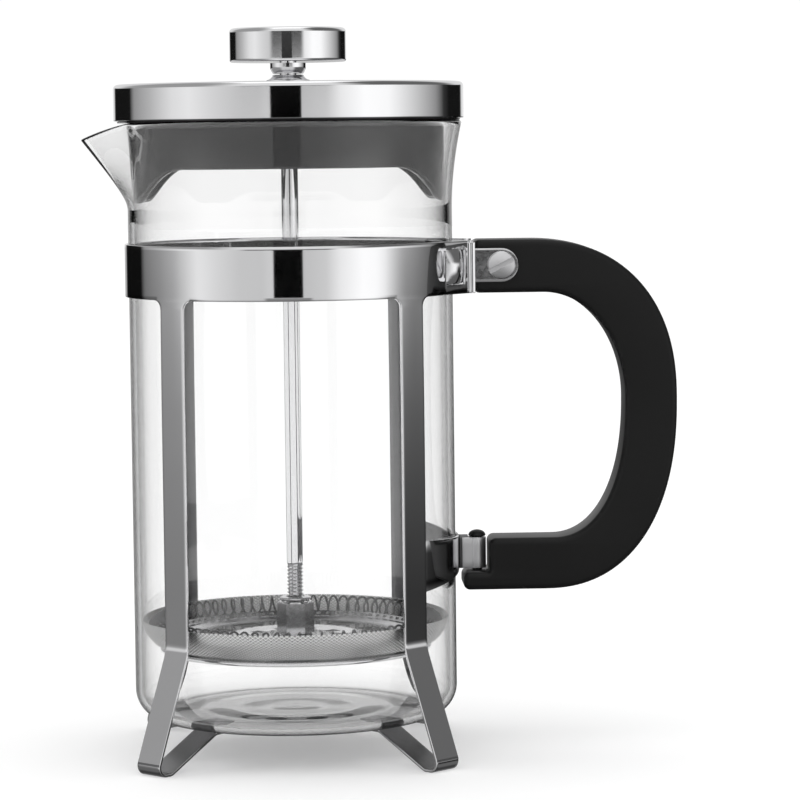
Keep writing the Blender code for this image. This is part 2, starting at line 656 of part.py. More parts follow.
def make_coil(axis, steel):
    """The coil that fills the gap to the glass: a wire wound round a ring."""
    curve = bpy.data.curves.new("edge_coil", "CURVE")
    curve.dimensions = "3D"
    curve.bevel_depth = COIL_WIRE / 2
    curve.bevel_resolution = 0
    middle_z = SPRING_Z + PLATE_SHEET / 2 + COIL_LIFT
    per_turn = 6
    count = COIL_TURNS * per_turn
    spline = curve.splines.new("POLY")
    spline.points.add(count - 1)
    for number, point in enumerate(spline.points):
        along = math.tau * number / count
        round_wire = math.tau * number / per_turn
        radius = COIL_RING + COIL_RADIUS * math.cos(round_wire)
        z = middle_z + COIL_RADIUS * math.sin(round_wire)
        point.co = (radius * math.cos(along), radius * math.sin(along), z, 1)
    spline.use_cyclic_u = True
    add(as_mesh(bpy.data.objects.new("edge_coil", curve)), steel, axis)


# ---------------------------------------------------------------- frame

def leg_half_width(drop):
    """Half of a leg's width at a distance below the band, with the fillets at its root."""
    if drop >= LEG_FILLET:
        return LEG_WIDTH / 2
    return LEG_WIDTH / 2 + LEG_FILLET - math.sqrt(LEG_FILLET ** 2 - (LEG_FILLET - drop) ** 2)


def leg_columns():
    """Where a leg's columns of points lie across its width, as shares of half the width."""
    return (-1.0, 0.0, 1.0)


def band_columns():
    """The band's middle line from above: the front half, from the -X side to the front flap."""
    root = LEG_WIDTH / 2 + LEG_FILLET
    angles = [math.radians(a) for a in range(180, 360, 6) if a < 360 - math.degrees(FLAP_START_ANGLE)]
    for centre in FRONT_LEGS:
        span = math.asin(root / SHEET_RADIUS)
        angles = [a for a in angles if abs(a - centre) > span + math.radians(1)]
        angles += [centre + math.asin(root * share / SHEET_RADIUS) for share in leg_columns()]
    angles.append(math.tau - FLAP_START_ANGLE)
    points = [(SHEET_RADIUS * math.cos(a), SHEET_RADIUS * math.sin(a)) for a in sorted(angles)]
    start, end = points[-1], (FLAP_REACH_X, -FLAP_REACH_Y)
    length = math.hypot(end[0] - start[0], end[1] - start[1])
    for along in (WINDOW_START, WINDOW_START + WINDOW_LENGTH / 2, WINDOW_START + WINDOW_LENGTH):
        share = along / length
        points.append((start[0] + (end[0] - start[0]) * share, start[1] + (end[1] - start[1]) * share))
    heading = math.degrees(math.atan2(end[1] - start[1], end[0] - start[0]))
    side = math.radians(heading - 90)
    centre = (end[0] + FLAP_LIP_RADIUS * math.cos(side), end[1] + FLAP_LIP_RADIUS * math.sin(side))
    turn = math.degrees(FLAP_LIP_TURN)
    return points + arc(centre, FLAP_LIP_RADIUS, heading + 90, heading + 90 - turn, 4)


def sheet_grid(work, columns, rows, place, skip=()):
    """Add a grid of faces to a sheet, leaving out the cells named in skip."""
    points = [[work.verts.new(place(c, r)) for r in range(rows)] for c in range(columns)]
    for c in range(columns - 1):
        for r in range(rows - 1):
            if (c, r) in skip:
                continue
            work.faces.new((points[c][r], points[c + 1][r], points[c + 1][r + 1], points[c][r + 1]))


def add_band(work):
    """The front half of the band and its flap, with the strap's window left out."""
    plan = band_columns()
    window = STRAP_HEIGHT / 2 + WINDOW_GAP
    levels = [BAND_BOTTOM_Z, STRAP_Z - window, STRAP_Z + window, BAND_TOP_Z]
    first = len(plan) - 8
    skip = {(first, 1), (first + 1, 1)}
    sheet_grid(work, len(plan), len(levels), lambda c, r: (*plan[c], levels[r]), skip)


def leg_path():
    """The middle of a leg seen from the side, as (radius, z), from the band to its tab's end."""
    drops = (0, 0.25 * LEG_FILLET, 0.6 * LEG_FILLET, LEG_FILLET)
    path = [(SHEET_RADIUS, BAND_BOTTOM_Z - drop) for drop in drops]
    low, high = LUG_ROOT_Z
    path += [(SHEET_RADIUS, high), (SHEET_RADIUS, (low + high) / 2), (SHEET_RADIUS, low)]
    sole = FRAME_SHEET / 2
    tab_radius = SHEET_RADIUS - TAB_IN
    corners = [(SHEET_RADIUS, low, 0), (SHEET_RADIUS, LEG_BEND_Z, LEG_BEND_RADIUS),
               (SHEET_RADIUS + FOOT_OUT, sole, FOOT_BEND_RADIUS),
               (SHEET_RADIUS + TOE_OUT, sole, FOOT_BEND_RADIUS),
               (tab_radius, TAB_Z, FOOT_BEND_RADIUS), (tab_radius - TAB_LENGTH, TAB_Z, 0)]
    return path + rounded(corners, steps=3)[1:]


def on_leg(centre, across, point):
    """A point of a leg's sheet, which keeps the band's curve from side to side."""
    radius, z = point
    out = radius - SHEET_RADIUS + math.sqrt(SHEET_RADIUS ** 2 - across ** 2)
    return (out * math.cos(centre) - across * math.sin(centre),
            out * math.sin(centre) + across * math.cos(centre), z)


def add_leg(work, centre):
    """A leg, its foot and the tab under the glass."""
    path = leg_path()
    shares = leg_columns()

    def place(column, row):
        half = leg_half_width(BAND_BOTTOM_Z - path[row][1])
        return on_leg(centre, half * shares[column], path[row])

    sheet_grid(work, len(shares), len(path), place)


def add_lug(work, centre):
    """The tapering arm from a right-hand leg round to the handle, ending in a tab."""
    first = centre + math.asin(LEG_WIDTH / 2 / SHEET_RADIUS)
    last = math.tau - math.asin((LUG_TAB_OFFSET + LUG_BEND) / SHEET_RADIUS)
    plan = [(SHEET_RADIUS * math.cos(first + (last - first) * i / 6),
             SHEET_RADIUS * math.sin(first + (last - first) * i / 6)) for i in range(7)]
    corner = (plan[-1][0] + LUG_BEND, plan[-1][1])
    plan += arc(corner, LUG_BEND, 180, 90, 3)[1:] + [(SHEET_RADIUS + LUG_TAB_OUT, -LUG_TAB_OFFSET)]

    def place(column, row):
        share = min(column / 6, 1)
        low = LUG_ROOT_Z[0] + (LUG_END_Z[0] - LUG_ROOT_Z[0]) * share
        high = LUG_ROOT_Z[1] + (LUG_END_Z[1] - LUG_ROOT_Z[1]) * share
        return (*plan[column], low + (high - low) * row / 2)

    sheet_grid(work, len(plan), 3, place)


def make_frame(axis, steel):
    """One stamped sheet: the band, its two flaps, four legs and the two lower lugs."""
    work = bmesh.new()
    add_band(work)
    for centre in FRONT_LEGS:
        add_leg(work, centre)
    add_lug(work, FRONT_LEGS[1])
    bmesh.ops.remove_doubles(work, verts=work.verts, dist=MERGE)
    bmesh.ops.recalc_face_normals(work, faces=work.faces)
    mesh = bpy.data.meshes.new("frame")
    work.to_mesh(mesh)
    work.free()
    obj = bpy.data.objects.new("frame", mesh)
    mirror = obj.modifiers.new("rear half", "MIRROR")
    mirror.use_axis = (False, True, False)
    mirror.merge_threshold = MERGE
    shell = obj.modifiers.new("sheet", "SOLIDIFY")
    shell.thickness = FRAME_SHEET
    shell.offset = 0
    shell.use_even_offset = True
    smooth(obj)
    add(obj, steel, axis)


# ---------------------------------------------------------------- handle

def handle_outline():
    """The handle from the front: two arms, the grip, and the lip below the lower bracket."""
    arm_foot = HANDLE_TOP_Z - HANDLE_ARM
    outer_x, inner_x = HANDLE_REACH, HANDLE_REACH - HANDLE_GRIP
    lower_top = HANDLE_FOOT_Z + HANDLE_FOOT_ARM
    notch_x = HANDLE_LIP_X + HANDLE_NOTCH
    upper_x, lower_x = outer_x - SHOULDER_TOP, outer_x - SHOULDER_FOOT
    above, below = HANDLE_TOP_Z - HANDLE_MID_Z, HANDLE_MID_Z - HANDLE_FOOT_Z
    points = quarter((upper_x, HANDLE_MID_Z), (SHOULDER_TOP, above), SHOULDER_POWER, 90, 0, 12)
    points += quarter((lower_x, HANDLE_MID_Z), (SHOULDER_FOOT, below), SHOULDER_POWER,
                      0, -90, 12)[1:]
    points += rounded([(lower_x, HANDLE_FOOT_Z, 0), (HANDLE_LIP_X, HANDLE_FOOT_Z, HANDLE_CORNER),
                       (HANDLE_LIP_X, HANDLE_LIP_Z, HANDLE_CORNER),
                       (notch_x, HANDLE_LIP_Z, NOTCH_CORNER),
                       (notch_x, lower_top, HANDLE_CORNER), (lower_x, lower_top, 0)])[1:-1]
    points += quarter((inner_x - HOLLOW_FOOT, HANDLE_MID_Z), (HOLLOW_FOOT, HANDLE_MID_Z - lower_top),
                      HOLLOW_FOOT_POWER, -90, 0, 12)
    points += quarter((inner_x - HOLLOW_TOP, HANDLE_MID_Z), (HOLLOW_TOP, arm_foot - HANDLE_MID_Z),
                      2, 0, 90, 12)[1:]
    points += rounded([(upper_x, arm_foot, 0), (HANDLE_START_X, arm_foot, HANDLE_CORNER),
                       (HANDLE_START_X, HANDLE_TOP_Z, HANDLE_CORNER),
                       (upper_x, HANDLE_TOP_Z, 0)])[1:-1]
    return points


def make_handle(axis, plastic):
    """The moulded handle, with holes for the screw and the pin."""
    flat = flat_outline("handle", handle_outline(), HANDLE_DEPTH, HANDLE_ROUND)
    flat.rotation_euler.x = math.pi / 2
    bpy.context.view_layer.update()
    obj = as_mesh(flat)
    screw_hole = round_cutter("handle_screw_hole", SCREW_RADIUS + RUN_GAP, -HANDLE_DEPTH,
                              HANDLE_DEPTH, axis)
    screw_hole.rotation_euler.x = math.pi / 2
    screw_hole.location = (STRAP_SCREW_X, 0, STRAP_Z)
    boolean(obj, screw_hole)
    pin_hole = round_cutter("handle_pin_hole", PIN_RADIUS + RUN_GAP, HANDLE_FOOT_Z - CUT_PAST,
                            HANDLE_LIP_Z + CUT_PAST, axis)
    pin_hole.location.x = BARREL_X
    boolean(obj, pin_hole)
    add(obj, plastic, axis)


# ---------------------------------------------------------------- clasp, screw and lower bracket

def strap_plan():
    """A strap's middle line from above: along the handle, behind the flap and out of its window."""
    start = (SHEET_RADIUS * math.cos(FLAP_START_ANGLE), SHEET_RADIUS * math.sin(FLAP_START_ANGLE))
    length = math.hypot(FLAP_REACH_X - start[0], FLAP_REACH_Y - start[1])
    ux, uy = (FLAP_REACH_X - start[0]) / length, (FLAP_REACH_Y - start[1]) / length

    def beside(along, out):
        return (start[0] + ux * along - uy * out, start[1] + uy * along + ux * out)

    behind = FRAME_SHEET / 2 + TOUCH_GAP + STRAP_SHEET / 2
    near = WINDOW_START + WINDOW_LENGTH
    bx, by = beside(near, -behind)
    meet_x = bx + (STRAP_Y - by) * ux / uy
    corners = [(STRAP_SCREW_X + STRAP_HEIGHT / 2, STRAP_Y, 0), (meet_x, STRAP_Y, STRAP_BEND)]
    corners.append((*beside(near - STRAP_DIP, -behind), STRAP_DIP_BEND))
    corners.append((*beside(near - STRAP_BULGE_FIRST, behind), STRAP_BULGE_BEND))
    corners.append((*beside(WINDOW_START + STRAP_BULGE_LAST, behind), STRAP_BULGE_BEND))
    corners.append((*beside(WINDOW_START + STRAP_TAIL, -behind / 2), 0))
    return rounded(corners, steps=3)


def make_strap(name, side, axis, steel):
    """A clasp strap: hooked in the band's flap at one end, round and screwed at the other."""
    plan = [(x, side * y) for x, y in strap_plan()]
    outline = ribbon(plan, STRAP_SHEET)
    strip = flat_outline(name, outline[::int(side)], STRAP_HEIGHT)
    strip.location.z = STRAP_Z
    bpy.context.view_layer.update()
    obj = as_mesh(strip)
    half = STRAP_HEIGHT / 2
    face = [(STRAP_SCREW_X - 4 * half, -half - CUT_PAST)]
    face += [(STRAP_SCREW_X, -half)] + arc((STRAP_SCREW_X, 0), half, -75, 75, 10)
    face += [(STRAP_SCREW_X, half), (STRAP_SCREW_X - 4 * half, half + CUT_PAST)]
    blank = flat_outline(f"{name}_blank", face, 3 * HANDLE_DEPTH)
    blank.rotation_euler.x = math.pi / 2
    blank.location.z = STRAP_Z
    bpy.context.view_layer.update()
    boolean(obj, add_cutter(as_mesh(blank), axis), "INTERSECT")
    hole = round_cutter(f"{name}_hole", SCREW_RADIUS + RUN_GAP, -2 * CUT_PAST, 2 * CUT_PAST, axis)
    hole.rotation_euler.x = math.pi / 2
    hole.location = (STRAP_SCREW_X, side * STRAP_Y, STRAP_Z)
    boolean(obj, hole)
    add(obj, steel, axis)


def make_screw(axis, steel):
    """The slotted screw through both straps and the handle, head to the front."""
    outer = STRAP_Y + STRAP_SHEET / 2 + TOUCH_GAP
    head_z = outer + SCREW_HEAD
    tail_z = -(outer + SCREW_NUT + SCREW_TAIL)
    profile = [(0, head_z), (SCREW_HEAD_RADIUS * 0.6, head_z - SCREW_CROWN / 5)]
    profile += [(SCREW_HEAD_RADIUS, head_z - SCREW_CROWN), (SCREW_HEAD_RADIUS, outer)]
    profile += [(SCREW_RADIUS, outer), (SCREW_RADIUS, tail_z), (0, tail_z)]
    obj = as_mesh(turned("handle_screw", profile, closed=False, steps=SMALL_STEPS))
    obj.rotation_euler.x = math.pi / 2
    obj.location = (STRAP_SCREW_X, 0, STRAP_Z)
    slot = box_cutter("screw_slot", (3 * SCREW_HEAD_RADIUS, 2 * SCREW_SLOT_DEPTH, SCREW_SLOT), axis)
    slot.location = (STRAP_SCREW_X, -head_z, STRAP_Z)
    slot.rotation_euler.y = -SCREW_SLOT_TILT
    boolean(obj, slot)
    smooth(obj)
    add(obj, steel, axis)
    nut = make_nut("handle_screw_nut", SCREW_NUT_RADIUS, SCREW_RADIUS + RUN_GAP, outer, SCREW_NUT,
                   axis, steel)
    lay_down(nut)
    lay_down(bpy.data.objects["handle_screw_nut_bore"])


def lay_down(obj):
    """Turn a piece made along +Z to point along +Y at the handle screw."""
    obj.rotation_euler.x = -math.pi / 2
    obj.location = (STRAP_SCREW_X, 0, STRAP_Z)


def make_bracket(axis, steel):
    """The strip wrapped round the pin, whose two tails grip the lower lugs' tabs."""
    tail_y = LUG_TAB_OFFSET + FRAME_SHEET / 2 + TOUCH_GAP + BARREL_SHEET / 2
    tail_x = SHEET_RADIUS + FRAME_SHEET / 2 + TOUCH_GAP + TAIL_GAP
    meet = math.degrees(math.asin(tail_y / BARREL_RADIUS))
    plan = [(tail_x, -tail_y)]
    plan += arc((BARREL_X, 0), BARREL_RADIUS, -180 + meet, 180 - meet, 16)
    plan += [(tail_x, tail_y)]
    obj = flat_outline("lower_bracket", ribbon(plan, BARREL_SHEET), BARREL_HEIGHT)
    obj.location.z = BARREL_BASE_Z + BARREL_HEIGHT / 2
    add(obj, steel, axis)


def make_pin(axis, plastic):
    """The domed pin that drops through the bracket into the handle's lip."""
    seat_z = BARREL_BASE_Z + BARREL_HEIGHT + TOUCH_GAP
    dome = [(PIN_HEAD_RADIUS * math.cos(math.radians(a)), seat_z + PIN_HEAD * math.sin(math.radians(a)))
            for a in (90, 65, 40, 15, 0)]
    foot_z = HANDLE_FOOT_Z + PIN_LIFT
    profile = [(0, dome[0][1])] + dome[1:]
    profile += [(PIN_RADIUS, seat_z), (PIN_RADIUS, foot_z), (0, foot_z)]
    obj = turned("lower_bracket_pin", profile, closed=False, steps=SMALL_STEPS)
    obj.location.x = BARREL_X
    smooth(obj)
    add(obj, plastic, axis)


# ---------------------------------------------------------------- the press

clear_scene()
PARTS = new_collection("french_press")
CUTTERS = new_collection("cutters")
FRONT_LEGS = tuple(math.radians(a) for a in LEG_DEGREES)

polished = finish_material("polished_steel", (0.78, 0.78, 0.79), 0.12, 1.0)
brushed = finish_material("filter_steel", (0.70, 0.70, 0.71), 0.25, 1.0)
woven = finish_material("screen_steel", (0.55, 0.55, 0.56), 0.40, 1.0)
glass = finish_material("beaker_glass", (0.95, 0.97, 0.97), 0.02, 0.0, 1.0)
black = finish_material("handle_plastic", (0.02, 0.02, 0.02), 0.38, 0.0)
grey = finish_material("insert_plastic", (0.05, 0.05, 0.052), 0.35, 0.0)

press = axis_empty("press_axis")
beaker_axis = axis_empty("beaker_axis", press)
lid_axis = axis_empty("lid_axis", beaker_axis)
insert_axis = axis_empty("insert_axis", lid_axis)
plunger_axis = axis_empty("plunger_axis", lid_axis)

make_frame(press, polished)
make_handle(press, black)
make_strap("clasp_strap_front", -1, press, polished)
make_strap("clasp_strap_rear", 1, press, polished)
make_screw(press, polished)
make_bracket(press, polished)
make_pin(press, black)
make_beaker(beaker_axis, glass)
make_cap(lid_axis, polished)
make_collar(lid_axis, polished)
make_nut("lid_nut", LID_NUT_RADIUS, TUBE_HOLE, LID_NUT_BASE_Z, LID_NUT_HEIGHT, lid_axis, polished)
make_insert(insert_axis, grey)
make_knob(plunger_axis, polished)
make_neck(plunger_axis, polished)
make_rod(plunger_axis, polished)
make_nut("lock_nut", LOCK_NUT_RADIUS, GUIDE_BORE, LOCK_NUT_Z, LOCK_NUT_HEIGHT, plunger_axis, brushed)
make_nut("hub_nut", HUB_NUT_RADIUS, STUD_HOLE, HUB_NUT_Z, HUB_NUT_HEIGHT, plunger_axis, brushed)
make_stud(plunger_axis, brushed)
make_spring_plate(plunger_axis, brushed)
make_coil(plunger_axis, brushed)
make_screen(plunger_axis, woven)
make_base_plate(plunger_axis, brushed)
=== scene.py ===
"""The french press's looks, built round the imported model: smooth shells, real threads, coil,
weave and studio materials. Lengths are in metres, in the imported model's own frame."""

from math import e as EULER
from math import (asin, atan2, ceil, copysign, cos, degrees, floor, hypot, pi, radians, remainder, sin,
                  sqrt, tau)

import bmesh
import bpy
from mathutils import Matrix, Vector

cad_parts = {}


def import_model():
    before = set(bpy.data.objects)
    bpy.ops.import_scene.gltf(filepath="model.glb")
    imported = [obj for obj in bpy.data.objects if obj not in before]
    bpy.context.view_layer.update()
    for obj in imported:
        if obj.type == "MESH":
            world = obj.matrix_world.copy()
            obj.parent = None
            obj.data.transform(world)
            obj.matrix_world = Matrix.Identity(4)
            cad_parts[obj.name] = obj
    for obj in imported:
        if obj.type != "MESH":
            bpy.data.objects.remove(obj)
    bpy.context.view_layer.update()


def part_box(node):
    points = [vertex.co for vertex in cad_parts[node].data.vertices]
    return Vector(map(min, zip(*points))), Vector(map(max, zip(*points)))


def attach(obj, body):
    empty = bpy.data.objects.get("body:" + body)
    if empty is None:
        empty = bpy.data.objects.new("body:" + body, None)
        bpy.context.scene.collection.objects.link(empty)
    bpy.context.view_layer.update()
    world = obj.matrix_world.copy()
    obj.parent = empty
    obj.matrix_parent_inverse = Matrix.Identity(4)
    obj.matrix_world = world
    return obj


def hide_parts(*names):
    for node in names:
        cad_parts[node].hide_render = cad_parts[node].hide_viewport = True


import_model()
MM = 0.001


# ---- places, from the frame

def low(node):
    """A CAD node's lowest corner at rest."""
    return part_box(node)[0]


def high(node):
    """A CAD node's highest corner at rest."""
    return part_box(node)[1]


def span(node, axis=2):
    """A CAD node's lowest and highest place along an axis, upward if none is named."""
    return low(node)[axis], high(node)[axis]


def centre_of(node, axis):
    """The middle of a CAD node along an axis."""
    return sum(span(node, axis)) / 2


def half(node, axis):
    """Half of a CAD node's size along an axis."""
    return (high(node)[axis] - low(node)[axis]) / 2


def reach(node):
    """Half of a round node's width."""
    return half(node, 1)


AXIS_X = centre_of("lid_cap", 0)
GAP = 0.3 * MM

BEAKER_R = 48.5 * MM
WALL = 1.8 * MM
BASE_Z = low("beaker").z
RIM_R = reach("beaker")
RIM_Z = 188.6 * MM
FLARE = 25.0 * MM
CORNER = 9.0 * MM
SPOUT_R = AXIS_X - low("beaker").x - 0.05 * MM
SPOUT_DROP = 4.3 * MM
SPOUT_ANGLE = radians(25)
FLARE_STEPS, FLARE_POWER, FLARE_SPACING = 28, 1.8, 1.3
SPOUT_POWER, SPOUT_BLEND = 1.6, 0.2
PUSH_UP, FLOOR_RISE, BASE_STEPS = 0.7 * MM, 0.9 * MM, 40
TONGUE_DROP, HANG, STRAINER_SLOTS = 10.1 * MM, 4.0 * MM, 7
BORE = 2.8 * MM
PIN_SHANK = 1.5 * MM

SHEET = 0.8 * MM
SHEET_R = BEAKER_R + GAP + SHEET / 2
BAND_TOP = high("frame").z
BAND_LOW = BAND_TOP - 15.7 * MM
STRAP_Z = centre_of("clasp_strap_front", 2)
STRAP_HALF = half("clasp_strap_front", 2)
SCREW_X = centre_of("handle_screw", 0) - AXIS_X
BARREL_X = centre_of("lower_bracket_pin", 0) - AXIS_X
STRAP_SHEET, STRAP_BULGE = 1.0 * MM, 2.5 * MM

WELD = 0.003 * MM
LONG_STRETCH, BESIDE_END = 0.9 * MM, 0.12 * MM


# ---- helpers

def linked(name, data):
    """A new object in the scene."""
    obj = bpy.data.objects.new(name, data)
    bpy.context.scene.collection.objects.link(obj)
    return obj


def as_mesh(name, work):
    """A bmesh as a new mesh. The bmesh is freed."""
    mesh = bpy.data.meshes.new(name)
    work.to_mesh(mesh)
    work.free()
    return mesh


def curve_mesh(curve):
    """A curve's surface as a mesh."""
    source = linked("curve_source", curve)
    mesh = bpy.data.meshes.new_from_object(source.evaluated_get(bpy.context.evaluated_depsgraph_get()))
    bpy.data.objects.remove(source)
    return mesh


def cleaned(work):
    """Weld a bmesh's doubled points and turn its faces outward."""
    bmesh.ops.remove_doubles(work, verts=work.verts, dist=WELD)
    bmesh.ops.recalc_face_normals(work, faces=work.faces)


def polar(angle, r, z):
    """A point at an angle round the beaker's axis."""
    return (AXIS_X + r * cos(angle), r * sin(angle), z)


def new_object(name, mesh, body, material, node):
    """A finished piece: linked, named, riding on its body and standing for its CAD node."""
    obj = linked(name, mesh)
    obj.data.materials.clear()
    obj.data.materials.append(material)
    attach(obj, body)
    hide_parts(node)
    return obj


def arc(centre, radius, start, end, steps):
    """Points on an arc, from one angle to another in degrees."""
    points = []
    for i in range(steps + 1):
        angle = radians(start + (end - start) * i / steps)
        points.append((centre[0] + radius * cos(angle), centre[1] + radius * sin(angle)))
    return points


def rounded(corners, steps=8, closed=False):
    """A path through (x, y, radius) corners, each corner rounded by an arc."""
    count = len(corners)
    points = []
    for i, (x, y, radius) in enumerate(corners):
        if radius == 0 or (not closed and i in (0, count - 1)):
            points.append((x, y))
            continue
        before, after = corners[i - 1], corners[(i + 1) % count]
        back = atan2(before[1] - y, before[0] - x)
        ahead = atan2(after[1] - y, after[0] - x)
        turn = remainder(ahead - back, tau)
        half = abs(turn) / 2
        middle = back + turn / 2
        away = radius / sin(half)
        cx, cy = x + away * cos(middle), y + away * sin(middle)
        side = copysign(1.0, turn)
        sweep = pi - 2 * half
        first = middle + pi + side * sweep / 2
        for j in range(steps + 1):
            angle = first - side * sweep * j / steps
            points.append((cx + radius * cos(angle), cy + radius * sin(angle)))
    return points


def spaced(path, step):
    """The same path with points no further apart than step."""
    points = [path[0]]
    for (x0, y0), (x1, y1) in zip(path, path[1:]):
        count = max(1, ceil(hypot(x1 - x0, y1 - y0) / step))
        points += [(x0 + (x1 - x0) * i / count, y0 + (y1 - y0) * i / count)
                   for i in range(1, count + 1)]
    return points


def shade(mesh, limit=40):
    """Smooth faces with sharp edges past the limit."""
    mesh.shade_smooth()
    mesh.set_sharp_from_angle(angle=radians(limit))


def supported(path, closed):
    """The path with a point close beside each end of its long stretches, so they shade flat."""
    points = []
    ends = path[1:] + [path[0] if closed else path[-1]]
    for (x0, y0), (x1, y1) in zip(path, ends):
        points.append((x0, y0))
        length = hypot(x1 - x0, y1 - y0)
        if length > LONG_STRETCH:
            for share in (BESIDE_END / length, 1 - BESIDE_END / length):
                points.append((x0 + (x1 - x0) * share, y0 + (y1 - y0) * share))
    return points


def lathe_mesh(name, profile, steps=180, closed=True, warp=None, limit=40, support=True):
    """Turn an (r, z) profile round the beaker's axis. warp(angle, r, z) may move a point."""
    work = bmesh.new()
    if support:
        profile = supported(profile, closed)
    rings = []
    for r, z in profile:
        if r < 1e-7:
            rings.append([work.verts.new((AXIS_X, 0, z))])
            continue
        ring = []
        for i in range(steps):
            angle = tau * i / steps
            ring.append(work.verts.new(polar(angle, *(warp(angle, r, z) if warp else (r, z)))))
        rings.append(ring)
    pairs = list(zip(rings, rings[1:]))
    if closed:
        pairs.append((rings[-1], rings[0]))
    for a, b in pairs:
        if len(a) == 1 and len(b) == 1:
            continue
        for i in range(steps):
            j = (i + 1) % steps
            if len(a) == 1:
                work.faces.new((a[0], b[i], b[j]))
            elif len(b) == 1:
                work.faces.new((a[i], b[0], a[j]))
            else:
                work.faces.new((a[i], b[i], b[j], a[j]))
    bmesh.ops.recalc_face_normals(work, faces=work.faces)
    mesh = as_mesh(name, work)
    shade(mesh, limit)
    return mesh


def turned(name, profile, body, material, node, steps=180, closed=True, warp=None, limit=40,
           support=True, place=None):
    """A piece made by lathe_mesh, and moved by place where it isn't on the beaker's axis."""
    mesh = lathe_mesh(name, profile, steps, closed, warp, limit, support)
    if place is not None:
        mesh.transform(place)
    return new_object(name, mesh, body, material, node)


def grid(work, columns, rows, place, skip=()):
    """Add a grid of faces to a sheet, leaving out the cells named in skip."""
    points = [[work.verts.new(place(c, r)) for r in range(rows)] for c in range(columns)]
    for c in range(columns - 1):
        for r in range(rows - 1):
            if (c, r) not in skip:
                work.faces.new((points[c][r], points[c + 1][r], points[c + 1][r + 1], points[c][r + 1]))


def ring_grid(work, columns, rows, skip):
    """Add a closed ring of faces through (r, z) rows, leaving out the (column, row) cells in skip."""
    points = [[work.verts.new(polar(tau * c / columns, r, z)) for r, z in rows]
              for c in range(columns)]
    for c in range(columns):
        d = (c + 1) % columns
        for i in range(len(rows) - 1):
            if (c, i) not in skip:
                work.faces.new((points[c][i], points[d][i], points[d][i + 1], points[c][i + 1]))


def modified(obj, *steps):
    """Apply (type, settings) modifiers to an object's mesh, and leave it with none."""
    for kind, settings in steps:
        modifier = obj.modifiers.new(kind.lower(), kind)
        for key, value in settings.items():
            setattr(modifier, key, value)
    bpy.context.view_layer.update()
    evaluated = obj.evaluated_get(bpy.context.evaluated_depsgraph_get())
    mesh = bpy.data.meshes.new_from_object(evaluated)
    obj.modifiers.clear()
    old = obj.data
    obj.data = mesh
    bpy.data.meshes.remove(old)
    return obj


def cutter_box(size, place, corner=0):
    """A loose box for a cut. With a corner radius, its edges along X are rounded."""
    work = bmesh.new()
    bmesh.ops.create_cube(work, size=1)
    bmesh.ops.scale(work, vec=size, verts=work.verts)
    if corner:
        along_x = [edge for edge in work.edges
                   if abs(edge.verts[0].co.x - edge.verts[1].co.x) > size[0] / 2]
        bmesh.ops.bevel(work, geom=along_x, offset=corner, segments=5, affect="EDGES")
    bmesh.ops.transform(work, matrix=place, verts=work.verts)
    return linked("cutter", as_mesh("cutter", work))


def cut(obj, cutters, limit):
    """Take the cutters out of a piece, delete them and shade the piece again."""
    modified(obj, *[("BOOLEAN", {"operation": "DIFFERENCE", "object": c}) for c in cutters])
    for cutter in cutters:
        bpy.data.objects.remove(cutter)
    shade(obj.data, limit)


def thickened(name, work, thickness, bevel=0.12 * MM, limit=30):
    """A sheet given its thickness and softly broken edges, as a mesh."""
    cleaned(work)
    obj = linked(name + "_work", as_mesh(name, work))
    modified(obj, ("SOLIDIFY", {"thickness": thickness, "offset": 0, "use_even_offset": True}))
    if bevel:
        modified(obj, ("BEVEL", {"width": bevel, "segments": 3, "limit_method": "ANGLE",
                                 "angle_limit": radians(50), "harden_normals": False}))
    made = obj.data
    bpy.data.objects.remove(obj)
    made.name = name
    shade(made, limit)
    return made


# ---- materials

# Painted shade: the glass's base colour set by how edge-on the wall is seen, near black at its edges.
GLASS_EDGE_SHADE = [(0.0, 0.978), (0.16, 0.973), (0.42, 0.945), (0.50, 0.90), (0.55, 0.87), (0.60, 0.83),
              (0.67, 0.69), (0.72, 0.54), (0.76, 0.40), (0.82, 0.20), (0.88, 0.07), (1.0, 0.02)]
WEAVE_PITCH, WEAVE_RADIUS = 1.45 * MM, 44 * MM


def new_material(name):
    """A material, its node tree and its Principled shader."""
    made = bpy.data.materials.new(name)
    made.use_nodes = True
    tree = made.node_tree
    return made, tree, tree.nodes["Principled BSDF"]


def put(tree, kind, inputs=None, **settings):
    """Add a node, set its properties, and set or link its inputs."""
    node = tree.nodes.new(kind)
    for key, value in settings.items():
        setattr(node, key, value)
    for key, value in (inputs or {}).items():
        if isinstance(value, bpy.types.NodeSocket):
            tree.links.new(value, node.inputs[key])
        else:
            node.inputs[key].default_value = value
    return node


def feed(tree, shader, socket, value):
    """Link a value into one of a shader's sockets."""
    tree.links.new(value, shader.inputs[socket])


def fix(shader, socket, value):
    """Set one of a shader's own sockets."""
    shader.inputs[socket].default_value = value


def ramp(tree, factor, stops):
    """A colour ramp of stops at (place, value), where a value is a grey or a colour."""
    node = put(tree, "ShaderNodeValToRGB", {"Fac": factor})
    elements = node.color_ramp.elements
    while len(elements) < len(stops):
        elements.new(0.5)
    for element, (place, _) in zip(elements, stops):
        element.position = place
    for element, (_, value) in zip(elements, stops):
        color = value if isinstance(value, tuple) else (value, value, value)
        element.color = (*color, 1)
    return node.outputs["Color"]


def calc(tree, operation, a, b=0.0, c=0.0):
    """The output of one math node."""
    return put(tree, "ShaderNodeMath", {0: a, 1: b, 2: c}, operation=operation).outputs[0]


def noise(tree, place, scale, detail):
    """Noise at a place, from 0 to 1."""
    node = put(tree, "ShaderNodeTexNoise", {"Vector": place, "Scale": scale, "Detail": detail})
    return node.outputs["Fac"]


